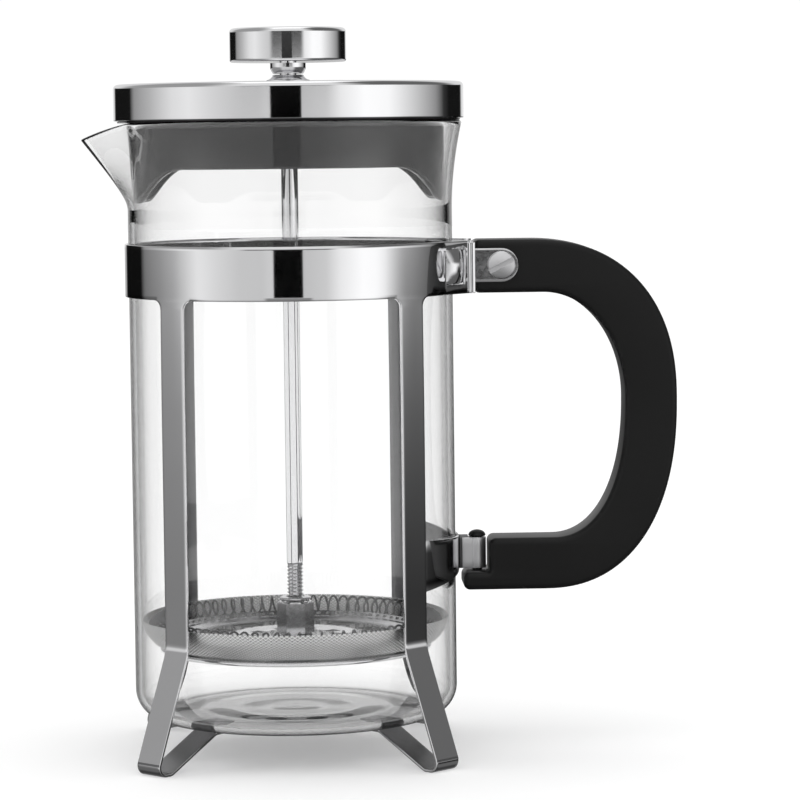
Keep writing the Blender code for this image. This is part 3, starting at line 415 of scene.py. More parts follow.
def spread(tree, value, start, end, low_end, high_end):
    """A value's range from start to end, mapped to another and clamped."""
    return put(tree, "ShaderNodeMapRange", {"Value": value, "From Min": start, "From Max": end,
                                            "To Min": low_end, "To Max": high_end}).outputs["Result"]


def set_relief(tree, shader, height, strength, distance):
    """Drive a shader's normal with a bump."""
    bump = put(tree, "ShaderNodeBump", {"Height": height, "Strength": strength, "Distance": distance})
    feed(tree, shader, "Normal", bump.outputs["Normal"])


def steel(name, base, rough_low, rough_high, grain=(1, 1, 1)):
    """Stainless steel: a faint grain in its roughness and surface, along one direction."""
    made, tree, shader = new_material(name)
    place = put(tree, "ShaderNodeTexCoord").outputs["Object"]
    stretched = put(tree, "ShaderNodeMapping", {"Vector": place, "Scale": grain}).outputs["Vector"]
    fine, broad = noise(tree, stretched, 900.0, 3.0), noise(tree, place, 45.0, 4.0)
    rough = spread(tree, calc(tree, "MULTIPLY", fine, broad), 0.12, 0.42, rough_low, rough_high)
    feed(tree, shader, "Roughness", rough)
    tint = ramp(tree, broad, [(0.3, tuple(0.97 * c for c in base)), (0.7, base)])
    feed(tree, shader, "Base Color", tint)
    set_relief(tree, shader, fine, 0.02, 0.02 * MM)
    fix(shader, "Metallic", 1.0)
    return made


def clear_glass():
    """Clear borosilicate glass. Its edges, seen along the wall, are darker: painted shade in its base
    colour.
    """
    made, tree, shader = new_material("clear_glass")
    facing = put(tree, "ShaderNodeLayerWeight", {"Blend": 0.5}).outputs["Facing"]
    feed(tree, shader, "Base Color", ramp(tree, facing, GLASS_EDGE_SHADE))
    place = put(tree, "ShaderNodeTexCoord").outputs["Object"]
    set_relief(tree, shader, noise(tree, place, 18.0, 1.0), 0.02, 0.3 * MM)
    fix(shader, "Roughness", 0.0)
    fix(shader, "IOR", 1.47)
    fix(shader, "Transmission Weight", 1.0)
    path = put(tree, "ShaderNodeLightPath").outputs
    straight = calc(tree, "MAXIMUM", path["Is Shadow Ray"], path["Is Diffuse Ray"])
    through = put(tree, "ShaderNodeBsdfTransparent", {"Color": (0.93, 0.93, 0.93, 1)})
    mixed = put(tree, "ShaderNodeMixShader", {0: straight, 1: shader.outputs[0], 2: through.outputs[0]})
    tree.links.new(mixed.outputs[0], tree.nodes["Material Output"].inputs["Surface"])
    return made


def moulded(name, base, rough_low, rough_high, specular, bump, index):
    """Moulded plastic, with the mould's fine spark texture."""
    made, tree, shader = new_material(name)
    place = put(tree, "ShaderNodeTexCoord").outputs["Object"]
    broad = noise(tree, place, 30.0, 3.0)
    rough = spread(tree, broad, 0.3, 0.7, rough_low, rough_high)
    feed(tree, shader, "Roughness", rough)
    tint = ramp(tree, broad, [(0.35, base), (0.65, tuple(1.12 * c for c in base))])
    feed(tree, shader, "Base Color", tint)
    set_relief(tree, shader, noise(tree, place, 1400.0, 2.0), bump, 0.02 * MM)
    fix(shader, "Specular IOR Level", specular)
    fix(shader, "IOR", index)
    return made


def woven_steel():
    """The screen's cloth: round wires in a plain weave, with gaps that let light through."""
    made, tree, shader = new_material("woven_steel")
    place = put(tree, "ShaderNodeTexCoord").outputs["Object"]
    split = put(tree, "ShaderNodeSeparateXYZ", {"Vector": place})
    x, y = calc(tree, "SUBTRACT", split.outputs["X"], AXIS_X), split.outputs["Y"]
    around = calc(tree, "MULTIPLY", calc(tree, "ARCTAN2", y, x), WEAVE_RADIUS)
    squares = calc(tree, "ADD", calc(tree, "MULTIPLY", x, x), calc(tree, "MULTIPLY", y, y))
    along = calc(tree, "MULTIPLY_ADD", split.outputs["Z"], 1.3, calc(tree, "POWER", squares, 0.5))
    waves = []
    for sign in (1, -1):
        across = calc(tree, "MULTIPLY_ADD", along, sign, around)
        turns = calc(tree, "MULTIPLY", across, pi / WEAVE_PITCH)
        waves.append(calc(tree, "ABSOLUTE", calc(tree, "COSINE", turns)))
    wires = calc(tree, "MAXIMUM", waves[0], waves[1])
    feed(tree, shader, "Alpha", spread(tree, wires, 0.66, 0.76, 0.0, 1.0))
    # Painted shade: the wires' base colour darkens from their crests toward their edges, where they dip
    # into the weave.
    tint = ramp(tree, wires, [(0.74, 0.04), (0.86, 0.30), (1.0, 1.0)])
    feed(tree, shader, "Base Color", tint)
    set_relief(tree, shader, wires, 1.0, 0.2 * MM)
    fix(shader, "Metallic", 1.0)
    fix(shader, "Roughness", 0.35)
    return made


STEEL = steel("polished_steel", (0.80, 0.80, 0.81), 0.035, 0.075, (1, 1, 30))
FILTER_STEEL = steel("filter_steel", (0.74, 0.74, 0.75), 0.10, 0.20)
# Painted shade: a dark copy of the polished steel, for the frame's inward faces, foot tops and lug tabs.
SHADE_PAINTED_STEEL = steel("shade_painted_steel", (0.24, 0.24, 0.244), 0.30, 0.42)
BRACKET_STEEL = steel("bracket_steel", (0.80, 0.80, 0.81), 0.36, 0.44)
# Painted shade: the coil's steel is made dark to stand for the shade between its wound turns.
SHADED_COIL_STEEL = steel("shaded_coil_steel", (0.17, 0.17, 0.175), 0.12, 0.20)
WEAVE = woven_steel()
GLASS = clear_glass()
BLACK = moulded("black_plastic", (0.0075, 0.0075, 0.0075), 0.36, 0.46, 0.20, 0.15, 1.5)
GREY = moulded("grey_plastic", (0.004, 0.004, 0.0041), 0.05, 0.08, 0.5, 0.01, 1.57)


# ---- beaker

def spout(angle, r, z):
    """Draw the wall out on the -X side into a pouring lip that droops a little."""
    base = RIM_Z - FLARE
    away = abs(remainder(angle - pi, tau)) / SPOUT_ANGLE
    if z <= base or away >= 1:
        return r, z
    pull = (1 - away) ** SPOUT_POWER
    share = (z - base) / FLARE
    out = (1 + SPOUT_BLEND) * share ** 2 / (share + SPOUT_BLEND)
    wider = (SPOUT_R - BEAKER_R) * out - (RIM_R - BEAKER_R) * share ** FLARE_POWER
    return r + wider * pull, z - SPOUT_DROP * out * pull


def glass_outside():
    """The outside of the glass from the rim down, with a faint push-up under the base."""
    points = []
    for i in range(FLARE_STEPS + 1):
        share = (1 - i / FLARE_STEPS) ** FLARE_SPACING
        points.append((BEAKER_R + (RIM_R - BEAKER_R) * share ** FLARE_POWER, RIM_Z - FLARE * (1 - share)))
    points += arc((BEAKER_R - CORNER, BASE_Z + CORNER), CORNER, 0, -90, 14)
    for i in range(1, BASE_STEPS):
        share = 1 - i / BASE_STEPS
        ripple = 0.12 * MM * sin(share * 11) * min(1, 4 * (1 - share))
        bow = 1 - share ** 2
        points.append(((BEAKER_R - CORNER) * share,
                       BASE_Z + PUSH_UP * bow + max(ripple, (0.1 * MM - PUSH_UP) * bow)))
    return points + [(0, BASE_Z + PUSH_UP)]


def glass_inside():
    """The inside of the glass, from the middle of the floor up to the rim."""
    points = [(0, BASE_Z + WALL + FLOOR_RISE)]
    for i in range(1, BASE_STEPS):
        share = i / BASE_STEPS
        ripple = 0.14 * MM * sin(share * 13 + 1) * min(1, 4 * (1 - share))
        points.append(((BEAKER_R - CORNER) * share, BASE_Z + WALL + FLOOR_RISE * (1 - share ** 2) + ripple))
    points += arc((BEAKER_R - CORNER, BASE_Z + CORNER), CORNER - WALL, -90, 0, 14)
    for i in range(FLARE_STEPS + 1):
        share = (i / FLARE_STEPS) ** FLARE_SPACING
        points.append((BEAKER_R - WALL + (RIM_R - BEAKER_R) * share ** FLARE_POWER,
                       RIM_Z - FLARE + FLARE * share))
    return points


def make_beaker():
    """The glass, with its rounded rim and its spout."""
    rim = arc((RIM_R - WALL / 2, RIM_Z - 0.1 * MM), WALL / 2, 180, 0, 8)[1:-1]
    profile = glass_outside() + glass_inside() + rim
    turned("glass_beaker", profile, "beaker", GLASS, "beaker", 240, warp=spout, limit=80,
           support=False)


# ---- lid

def make_cap():
    """The polished lid: a faint dome, a rounded corner and a straight side."""
    (foot, top), r = span("lid_cap"), reach("lid_cap")
    hole = reach("rod_collar") - 2.0 * MM
    sheet, corner, dome = 0.6 * MM, 1.4 * MM, 0.4 * MM
    centre = (r - corner, top - dome - corner)
    profile = [(hole, top)]
    profile += [(r * s, top - dome * s ** 2) for s in (0.2, 0.35, 0.5, 0.65, 0.8, 0.9)]
    profile += arc(centre, corner, 88, 0, 10)
    profile += [(r, foot + 0.2 * MM), (r - 0.06 * MM, foot + 0.06 * MM), (r - 0.2 * MM, foot)]
    profile += [(r - sheet, foot)] + arc(centre, corner - sheet, 0, 88, 6)
    profile += [(r * s, top - dome * s ** 2 - sheet) for s in (0.8, 0.5, 0.2)]
    profile += [(hole, top - sheet)]
    turned("steel_lid_cap", profile, "lid", STEEL, "lid_cap", 240)


def insert_drop(angle):
    """How far the insert hangs below its straight edge, at an angle round the axis."""
    away = atan2(abs(sin(angle)), abs(cos(angle)))
    root, tip = radians(48), radians(15)
    share = min(max((root - away) / (root - tip), 0), 1) ** 1.15
    return TONGUE_DROP * share * share * (3 - 2 * share)


def insert_profile(inner, skirt_r, skirt_z):
    """The insert's plate, skirt and central boss, as if it had no tongues."""
    plate_r, top = reach("lid_insert"), high("lid_insert").z
    plate_z = low("lid_cap").z - 0.7 * MM
    plate_top = plate_z + 1.7 * MM
    hole, boss, rim, root = 4.5 * MM, 7.0 * MM, 0.5 * MM, 0.6 * MM
    profile = [(plate_r - rim, plate_top)] + arc((plate_r - rim, plate_top - rim), rim, 90, 0, 4)[1:]
    profile += [(plate_r, plate_z + rim)] + arc((plate_r - rim, plate_z + rim), rim, 0, -90, 4)[1:]
    profile += [(skirt_r + root, plate_z)] + arc((skirt_r + root, plate_z - root), root, 90, 180, 4)[1:]
    profile += [(skirt_r, plate_z - HANG), (skirt_r, skirt_z + HANG), (skirt_r, skirt_z + MM)]
    profile += [(skirt_r, skirt_z), (skirt_r - 0.15 * MM, skirt_z - 0.35 * MM),
                (skirt_r - 0.6 * MM, skirt_z - 0.5 * MM), (inner + 0.6 * MM, skirt_z - 0.5 * MM),
                (inner + 0.15 * MM, skirt_z - 0.35 * MM), (inner, skirt_z)]
    profile += [(inner, skirt_z + MM), (inner, skirt_z + HANG), (inner, plate_z)]
    return profile + [(hole, plate_z), (hole, top), (boss, top), (boss, plate_top)]


def make_insert():
    """The insert, with its two hanging tongues and the strainer's slots over the spout."""
    skirt_z = low("lid_insert").z + TONGUE_DROP + 0.2 * MM
    skirt_r = BEAKER_R - WALL - 0.35 * MM
    inner = skirt_r - 1.8 * MM

    def hang(angle, r, z):
        """Pull the skirt's lower end down into the tongues."""
        if z <= skirt_z + HANG + 0.01 * MM and r > inner - MM:
            share = min((skirt_z + HANG - z) / HANG, 1)
            return r, z - share * insert_drop(angle)
        return r, z

    obj = turned("grey_lid_insert", insert_profile(inner, skirt_r, skirt_z), "insert",
                 GREY, "lid_insert", 300, warp=hang, limit=50)
    cutters = []
    for number in range(STRAINER_SLOTS):
        turn = pi + (number - STRAINER_SLOTS // 2) * radians(4.4)
        at = Vector(polar(turn, skirt_r - 0.9 * MM, skirt_z + 0.2 * MM))
        cutters.append(cutter_box((5.4 * MM, 1.5 * MM, 9 * MM), Matrix.Translation(at)
                                  @ Matrix.Rotation(turn, 4, "Z"), 0.74 * MM))
    cut(obj, cutters, 50)


def make_collar():
    """The guide on the lid, flared at its foot."""
    foot, top = span("rod_collar")
    base = high("lid_cap").z + GAP
    r = reach("rod_collar")
    lip, neck = 0.15 * MM, 4.8 * MM
    profile = [(BORE, top), (4.5 * MM, top), (4.75 * MM, top - lip)]
    for i in range(1, 9):
        share = i / 8
        profile.append((neck + (r - neck) * share ** 2.2, top - lip - 1.45 * MM * share))
    profile += [(r, base), (4.2 * MM, base), (4.2 * MM, foot), (BORE, foot)]
    turned("flared_rod_collar", profile, "lid", STEEL, "rod_collar", 72)


def hexagonal(flat, bore):
    """A warp that trims a turned nut to six sides and leaves its bore round."""
    def warp(angle, radius, z):
        """Pull a point in to the nearest flat."""
        corner = flat / cos(abs(remainder(angle - pi / 6, pi / 3)))
        return (min(corner, radius) if radius > bore + 0.01 * MM else radius), z
    return warp


def hex_nut(name, node, bore, chamfer, body, material):
    """A six-sided nut with turned chamfers at both ends and a round bore."""
    foot, top, r = low(node).z, high(node).z, (high(node).x - low(node).x) / 2
    flat = r * cos(pi / 6)
    profile = [(bore, top), (flat - 0.1 * MM, top), (r, top - chamfer), (r, foot + chamfer),
               (flat - 0.1 * MM, foot), (bore, foot)]
    turned(name, profile, body, material, node, 96, warp=hexagonal(flat, bore), limit=25)


# ---- plunger

def make_knob():
    """The thick knob, hollowed from below for its neck."""
    (foot, top), r = span("knob"), reach("knob")
    upper, lower, hollow = 1.3 * MM, 0.8 * MM, 6.2 * MM
    profile = [(0, top)] + [(r * s, top) for s in (0.3, 0.6, 0.8)]
    profile += arc((r - upper, top - upper), upper, 90, 0, 10)
    profile += arc((r - lower, foot + lower), lower, 0, -90, 6)
    profile += [(5.6 * MM, foot), (5.0 * MM, foot), (BORE, foot), (BORE, foot + hollow), (0, foot + hollow)]
    turned("steel_knob", profile, "plunger", STEEL, "knob", closed=False)


def make_neck():
    """The bush under the knob, drawn in at its foot."""
    foot, top = span("knob_neck")
    wide, slim, straight = reach("knob_neck"), 4.7 * MM, 1.3 * MM
    profile = [(BORE, top), (wide, top), (wide, top - straight)]
    for i in range(1, 7):
        share = i / 6
        profile.append((wide - (wide - slim) * share ** 1.6, top - straight - 1.7 * MM * share))
    profile += [(slim - 0.15 * MM, foot), (BORE, foot)]
    turned("steel_knob_neck", profile, "plunger", STEEL, "knob_neck", 96)


def make_rod():
    """The rod, with a real helical thread above the lock nut."""
    foot, top, r = low("plunger_rod").z, high("plunger_rod").z, 2.5 * MM
    thread_low, thread_high, pitch, depth = high("lock_nut").z - 2 * MM, 57 * MM, 1.1 * MM, 0.55 * MM
    end = 0.3 * MM
    levels = [foot, thread_low]
    count = round((thread_high - thread_low) / pitch * 8)
    levels += [thread_low + (thread_high - thread_low) * i / count for i in range(1, count + 1)]
    levels += [thread_high + 0.4 * MM, top - end, top]

    def threaded(angle, radius, z):
        """Cut the thread's groove into the rod."""
        if radius < 0.1 * MM or not thread_low < z < thread_high:
            return radius, z
        turn = (z - thread_low) / pitch - angle / tau
        ridge = abs(2 * (turn - floor(turn)) - 1)
        fade = min(1, (thread_high - z) / pitch, (z - thread_low) / end)
        return radius - depth * ridge * fade, z

    profile = [(0, top)] + [(r if z < top else r - end, z) for z in reversed(levels)] + [(0, foot)]
    turned("threaded_rod", profile, "plunger", STEEL, "plunger_rod", 48, False,
           threaded, 28)


def make_lock_nut():
    """The thin round nut that locks the hub on the rod."""
    foot, top = span("lock_nut")
    r = half("lock_nut", 0)
    profile = [(BORE, top), (3.4 * MM, top), (r - 0.35 * MM, top - 0.1 * MM)]
    profile += arc((r - 0.4 * MM, (foot + top) / 2), 0.4 * MM, 60, -60, 6)
    profile += [(r - 0.6 * MM, foot), (BORE, foot)]
    turned("round_lock_nut", profile, "plunger", FILTER_STEEL, "lock_nut", 72)


def make_stud():
    """The stud through the plates, with its flange under them."""
    foot, top = span("filter_stud")
    r = reach("filter_stud")
    shank, flange, hollow = 4 * MM, MM, 1.6 * MM
    profile = [(0, foot + hollow), (BORE, foot + hollow), (BORE, top), (shank, top),
               (shank, foot + flange), (r - 0.3 * MM, foot + flange), (r, foot + 0.7 * MM),
               (r, foot + 0.3 * MM), (r - 0.4 * MM, foot), (3 * MM, foot),
               (2.4 * MM, foot + 0.4 * MM), (0, foot + 0.4 * MM)]
    turned("flanged_stud", profile, "plunger", FILTER_STEEL, "filter_stud", 72, False)


COIL_TURNS = 80
HOLE_COLUMNS, PLATE_SLOTS = 4, 10
PLATE_STATIONS = [(4.3, 0), (7, 0), (12, 0), (16, 0), (17, 0.5), (20, 0.5), (21, 0.5), (24, 0.5),
                  (27, 0.5), (28, 0.5), (31, 0.5), (32, 0), (35.6, 0), (36.4, 0.7), (37.2, 0.8),
                  (37.7, 0.9), (38.1, 1.3), (38.5, 2.0), (38.8, 2.3)]
SCREEN_CURVE = [(1.0, 1.0), (0.98, 0.88), (0.93, 0.72), (0.84, 0.56), (0.72, 0.42), (0.57, 0.28),
                (0.42, 0.16), (0.27, 0.06), (0.12, 0.0)]
BASE_COLUMNS, BASE_HOLES = 192, 8
BASE_RADII = [4.3, 9, 14, 16.5, 18, 20, 22, 24, 26, 28, 30, 31.5, 36, 39]
HOLE_RING, HOLE_REACH = 24, 6.2


def make_spring_plate():
    """The plate above the screen: a ring of slots, a bead, and a raised edge full of round holes."""
    middle = low("spring_plate").z + 0.4 * MM
    columns = COIL_TURNS * HOLE_COLUMNS
    wide = columns // PLATE_SLOTS
    skip = set()
    for c in range(columns):
        if c % HOLE_COLUMNS in (1, 2):
            skip.add((c, 16))
        if wide * 0.22 < c % wide < wide * 0.78:
            skip.update({(c, 6), (c, 7), (c, 8)})
        if wide * 0.3 < (c + wide // 2) % wide < wide * 0.7:
            skip.add((c, 2))
    rows = [(r * MM, middle + z * MM) for r, z in PLATE_STATIONS]
    work = bmesh.new()
    ring_grid(work, columns, rows, skip)
    mesh = thickened("slotted_spring_plate", work, 0.5 * MM, 0)
    new_object("slotted_spring_plate", mesh, "plunger", FILTER_STEEL, "spring_plate")


def make_coil():
    """The coil at the filter's edge: a fine wire wound round a ring, its steel painted dark as shade
    between the turns.
    """
    middle = centre_of("edge_coil", 2)
    ring, around, per_turn = 41.6 * MM, 2.55 * MM, 16
    curve = bpy.data.curves.new("wound_edge_coil", "CURVE")
    curve.dimensions = "3D"
    curve.bevel_depth = 0.34 * MM
    curve.bevel_resolution = 2
    count = COIL_TURNS * per_turn
    spline = curve.splines.new("POLY")
    spline.points.add(count - 1)
    for number, point in enumerate(spline.points):
        turn = tau * number / per_turn
        point.co = (*polar(tau * number / count, ring + around * cos(turn),
                           middle + around * sin(turn)), 1)
    spline.use_cyclic_u = True
    mesh = curve_mesh(curve)
    mesh.shade_smooth()
    new_object("wound_edge_coil", mesh, "plunger", SHADED_COIL_STEEL, "edge_coil")


def make_screen():
    """The woven dish, as one thin curved sheet."""
    (foot, top), r = span("mesh_screen"), reach("mesh_screen")
    thick = 0.35 * MM
    base_r = reach("base_plate")
    run, height = r - thick / 2 - base_r, top - foot - 0.8 * MM
    flat_z = foot + 0.4 * MM
    middle = [(base_r + run * a, flat_z + height * b) for a, b in SCREEN_CURVE]
    middle += [(30 * MM, flat_z), (4.3 * MM, flat_z)]
    upper, lower = [], []
    for i, (x, z) in enumerate(middle):
        x0, z0 = middle[max(i - 1, 0)]
        x1, z1 = middle[min(i + 1, len(middle) - 1)]
        length = hypot(x1 - x0, z1 - z0)
        nx, nz = -(z1 - z0) / length * thick / 2, (x1 - x0) / length * thick / 2
        upper.append((x + nx, z + nz))
        lower.append((x - nx, z - nz))
    turned("woven_screen", upper + lower[::-1], "plunger", WEAVE, "mesh_screen")


def make_base_plate():
    """The perforated plate under the screen, with its bright rolled edge."""
    r = reach("base_plate")
    z = high("base_plate").z - 0.4 * MM
    sheet, roll = 0.5 * MM, 0.75 * MM
    per = BASE_COLUMNS // BASE_HOLES
    path = [(x * MM, z) for x in BASE_RADII]
    path += arc((r - roll, z - roll + sheet / 2), roll - sheet / 2, 90, -150, 10)[1:]
    skip = set()
    for c in range(BASE_COLUMNS):
        across = ((c % per) + 0.5 - per / 2) / per * tau / BASE_HOLES * HOLE_RING
        for i, (near, far) in enumerate(zip(BASE_RADII, BASE_RADII[1:])):
            if ((near + far) / 2 - HOLE_RING) ** 2 + across ** 2 < HOLE_REACH ** 2:
                skip.add((c, i))
    work = bmesh.new()
    ring_grid(work, BASE_COLUMNS, path, skip)
    mesh = thickened("rolled_base_plate", work, sheet, 0)
    new_object("rolled_base_plate", mesh, "plunger", FILTER_STEEL, "base_plate")


# ---- frame

LEG_HALF, FILLET = 4.65 * MM, 2.8 * MM
LUG_ROOT, LUG_END = (51.2 * MM, 66.3 * MM), (54.3 * MM, 64.4 * MM)
TAB_Z = BASE_Z - GAP - SHEET / 2
FOOT_TOP = BASE_Z + 2 * MM
WINDOW = (0.8 * MM, 10.2 * MM)
LEAVES = radians(24)
FLAP_END = (52.6 * MM, -10.5 * MM)
LEGS = (radians(225), radians(315))
LEG_SHARES = [i / 5 - 1 for i in range(11)]
FLATTENS = 14 * MM
TAB_TAPER = (1, 0.97, 0.8)
TAB_START = 48.7 * MM
LIP_BEND = 1.1 * MM


def ring_point(angle):
    """A point on the middle of the band's sheet, from above."""
    return (SHEET_R * cos(angle), SHEET_R * sin(angle))


def leg_half(drop):
    """Half of a leg's width at a distance below the band, with the fillets at its root."""
    if drop >= FILLET:
        return LEG_HALF
    return LEG_HALF + FILLET - sqrt(FILLET ** 2 - (FILLET - drop) ** 2)


def band_plan():
    """The front half of the band from above, from the -X side to the front flap's rolled lip.

    Also the number of the first point beside the flap's window."""
    root = LEG_HALF + FILLET
    angles = [radians(180 + 1.5 * i) for i in range(105)]
    angles = [a for a in angles if a < tau - LEAVES - 0.01]
    for centre in LEGS:
        span = asin(root / SHEET_R)
        angles = [a for a in angles if abs(a - centre) > span + 0.008]
        angles += [centre + asin(root * share / SHEET_R) for share in LEG_SHARES]
    angles.append(tau - LEAVES)
    points = [ring_point(a) for a in sorted(angles)]
    start, end = points[-1], FLAP_END
    length = hypot(end[0] - start[0], end[1] - start[1])
    marks = [WINDOW[0] + (WINDOW[1] - WINDOW[0]) * i / 4 for i in range(5)]
    first = len(points) + 1
    for along in [0.7 * MM] + marks + [WINDOW[1] + 0.8 * MM]:
        share = along / length
        points.append((start[0] + (end[0] - start[0]) * share, start[1] + (end[1] - start[1]) * share))
    heading = degrees(atan2(end[1] - start[1], end[0] - start[0]))
    side = radians(heading - 90)
    centre = (end[0] + LIP_BEND * cos(side), end[1] + LIP_BEND * sin(side))
    return points + arc(centre, LIP_BEND, heading + 90, heading - 30, 8), first


def add_band(work):
    """The front half of the band and its flap, with the window left open."""
    plan, first = band_plan()
    half, edge = STRAP_HALF + 0.4 * MM, 1.2 * MM
    levels = [BAND_LOW, BAND_LOW + edge, STRAP_Z - half, STRAP_Z - half / 2, STRAP_Z,
              STRAP_Z + half / 2, STRAP_Z + half, BAND_TOP - edge, BAND_TOP]
    skip = {(first + i, row) for i in range(4) for row in range(2, 6)}
    grid(work, len(plan), len(levels), lambda c, r: (AXIS_X + plan[c][0], plan[c][1], levels[r]), skip)


def leg_path():
    """The middle of a leg seen from the side, as (radius, z), from the band to its tab's end."""
    path = [(SHEET_R, BAND_LOW - FILLET * share) for share in (0, 0.05, 0.15, 0.3, 0.5, 0.75, 1)]
    foot, top = LUG_ROOT
    path += [(SHEET_R, BAND_LOW - 30 * MM), (SHEET_R, top + 1 * MM)]
    path += [(SHEET_R, top - (top - foot) * i / 4) for i in range(5)]
    sole, bend = SHEET / 2, 2.5 * MM
    corners = [(SHEET_R, foot, 0), (SHEET_R, 35 * MM, 14 * MM), (62.3 * MM, sole, bend),
               (56.5 * MM, sole, bend), (38.5 * MM, TAB_Z, bend), (30 * MM, TAB_Z, 0)]
    return path + rounded(corners, 8)[1:]


def add_leg(work, centre):
    """One leg at an angle round the axis. It keeps the band's curve at its root and flattens below."""
    path = leg_path()

    def place(column, row):
        """A point of the leg's sheet, from its place across and along the leg."""
        r, z = path[row]
        across = leg_half(BAND_LOW - z) * LEG_SHARES[column]
        if row >= len(path) - len(TAB_TAPER):
            across *= TAB_TAPER[row - len(path)]
        flat = min(max((BAND_LOW - z) / FLATTENS, 0), 1)
        flat = flat * flat * (3 - 2 * flat)
        out = r + (sqrt(SHEET_R ** 2 - across ** 2) - SHEET_R) * (1 - flat)
        return (AXIS_X + out * cos(centre) - across * sin(centre),
                out * sin(centre) + across * cos(centre), z)

    grid(work, len(LEG_SHARES), len(path), place)


def add_lug(work):
    """The tapering arm from the right-hand leg round to the handle, ending in a tab."""
    bend, steps = 1.0 * MM, 24
    first = LEGS[1] + asin(LEG_HALF / SHEET_R)
    last = tau - asin((0.6 * MM + bend) / SHEET_R)
    plan = [ring_point(first + (last - first) * i / steps) for i in range(steps + 1)]
    corner = (plan[-1][0] + bend, plan[-1][1])
    plan += arc(corner, bend, 180, 90, 6)[1:] + [(52.3 * MM, -0.6 * MM)]

    def place(column, row):
        """A point of the arm's sheet."""
        share = min(column / steps, 1)
        foot = LUG_ROOT[0] + (LUG_END[0] - LUG_ROOT[0]) * share
        top = LUG_ROOT[1] + (LUG_END[1] - LUG_ROOT[1]) * share
        return (AXIS_X + plan[column][0], plan[column][1], foot + (top - foot) * row / 4)

    grid(work, len(plan), 5, place)


def is_shade_painted(face):
    """Whether a face of the frame, below the band, is inward, on top of a foot or on a lug's tab, where the
    steel is painted darker as shade.
    """
    x, y, z = face.center.x - AXIS_X, face.center.y, face.center.z
    if z >= BAND_LOW:
        return False
    inward = Vector((x, y, 0)).normalized().dot(face.normal) < -0.85
    foot_top = z < FOOT_TOP and face.normal.z > 0.2
    lug_tab = x > TAB_START and abs(y) < 4 * MM and z > BASE_Z + 20 * MM
    return inward or foot_top or lug_tab


def make_frame():
    """One stamped sheet: band, flaps, four legs and two lugs, the rear half a mirror of the front."""
    work = bmesh.new()
    add_band(work)
    for centre in LEGS:
        add_leg(work, centre)
    add_lug(work)
    bmesh.ops.remove_doubles(work, verts=work.verts, dist=WELD)
    copied = bmesh.ops.duplicate(work, geom=work.verts[:] + work.edges[:] + work.faces[:])
    for item in copied["geom"]:
        if isinstance(item, bmesh.types.BMVert):
            item.co.y = -item.co.y
    mesh = thickened("stamped_frame", work, SHEET, 0.1 * MM, 35)
    obj = new_object("stamped_frame", mesh, "stand", STEEL, "frame")
    # Painted shade: inward faces, foot tops and lug tabs take the dark copy of the steel.
    obj.data.materials.append(SHADE_PAINTED_STEEL)
    for face in obj.data.polygons:
        if is_shade_painted(face):
            face.material_index = 1


# ---- handle

def superellipse(centre, semi_axes, power, start, end, steps=40):
    """Points on part of a superellipse, from one angle to another in degrees."""
    points = []
    for i in range(steps + 1):
        angle = radians(start + (end - start) * i / steps)
        across, up = cos(angle), sin(angle)
        x = copysign(abs(across) ** (2 / power), across)
        y = copysign(abs(up) ** (2 / power), up)
        points.append((centre[0] + semi_axes[0] * x, centre[1] + semi_axes[1] * y))
    return points


def handle_outline():
    """The handle from the front, the same outline as the solid's but finer."""
    foot, top = span("handle")
    outer = high("handle").x - AXIS_X
    inner = outer - 15.6 * MM
    middle = 105.6 * MM
    arm_foot, lower_top, lip_top = top - 15.9 * MM, foot + 15.6 * MM, foot + 5.4 * MM
    start_x, lip_x = 54.3 * MM, low("handle").x - AXIS_X
    notch_x = lip_x + 7.8 * MM
    upper_x, lower_x = outer - 44.3 * MM, outer - 40 * MM
    hollow_top, hollow_foot, corner = 24.5 * MM, 22.0 * MM, 2 * MM
    points = superellipse((upper_x, middle), (outer - upper_x, top - middle), 2.3, 90, 0)
    points += superellipse((lower_x, middle), (outer - lower_x, middle - foot), 2.3, 0, -90)[1:]
    points += rounded([(lower_x, foot, 0), (lip_x, foot, corner), (lip_x, lip_top, corner),
                       (notch_x, lip_top, MM), (notch_x, lower_top, corner),
                       (lower_x, lower_top, 0)])[1:-1]
    points += superellipse((inner - hollow_foot, middle), (hollow_foot, middle - lower_top), 2.25, -90, 0)
    points += superellipse((inner - hollow_top, middle), (hollow_top, arm_foot - middle), 2.0, 0, 90)[1:]
    points += rounded([(upper_x, arm_foot, 0), (start_x, arm_foot, corner), (start_x, top, corner),
                       (upper_x, top, 0)])[1:-1]
    return points


def extruded(name, outline, depth, bevel):
    """A flat outline given depth and rounded edges, as a mesh in its own XY plane."""
    curve = bpy.data.curves.new(name, "CURVE")
    curve.dimensions = "2D"
    curve.fill_mode = "BOTH"
    spline = curve.splines.new("POLY")
    spline.points.add(len(outline) - 1)
    for point, (x, y) in zip(spline.points, outline):
        point.co = (x, y, 0, 1)
    spline.use_cyclic_u = True
    curve.extrude = depth / 2 - bevel
    curve.bevel_depth = bevel
    curve.bevel_resolution = 5
    curve.offset = -bevel
    mesh = curve_mesh(curve)
    work = bmesh.new()
    work.from_mesh(mesh)
    cleaned(work)
    work.to_mesh(mesh)
    work.free()
    return mesh


def make_handle():
    """The black handle, laid in the XZ plane."""
    depth = high("handle").y - low("handle").y
    mesh = extruded("moulded_handle", handle_outline(), depth, 1.7 * MM)
    mesh.transform(Matrix.Translation((AXIS_X, 0, 0)) @ Matrix.Rotation(pi / 2, 4, "X"))
    shade(mesh, 40)
    new_object("moulded_handle", mesh, "stand", BLACK, "handle")


# ---- clasp, screw, lower bracket

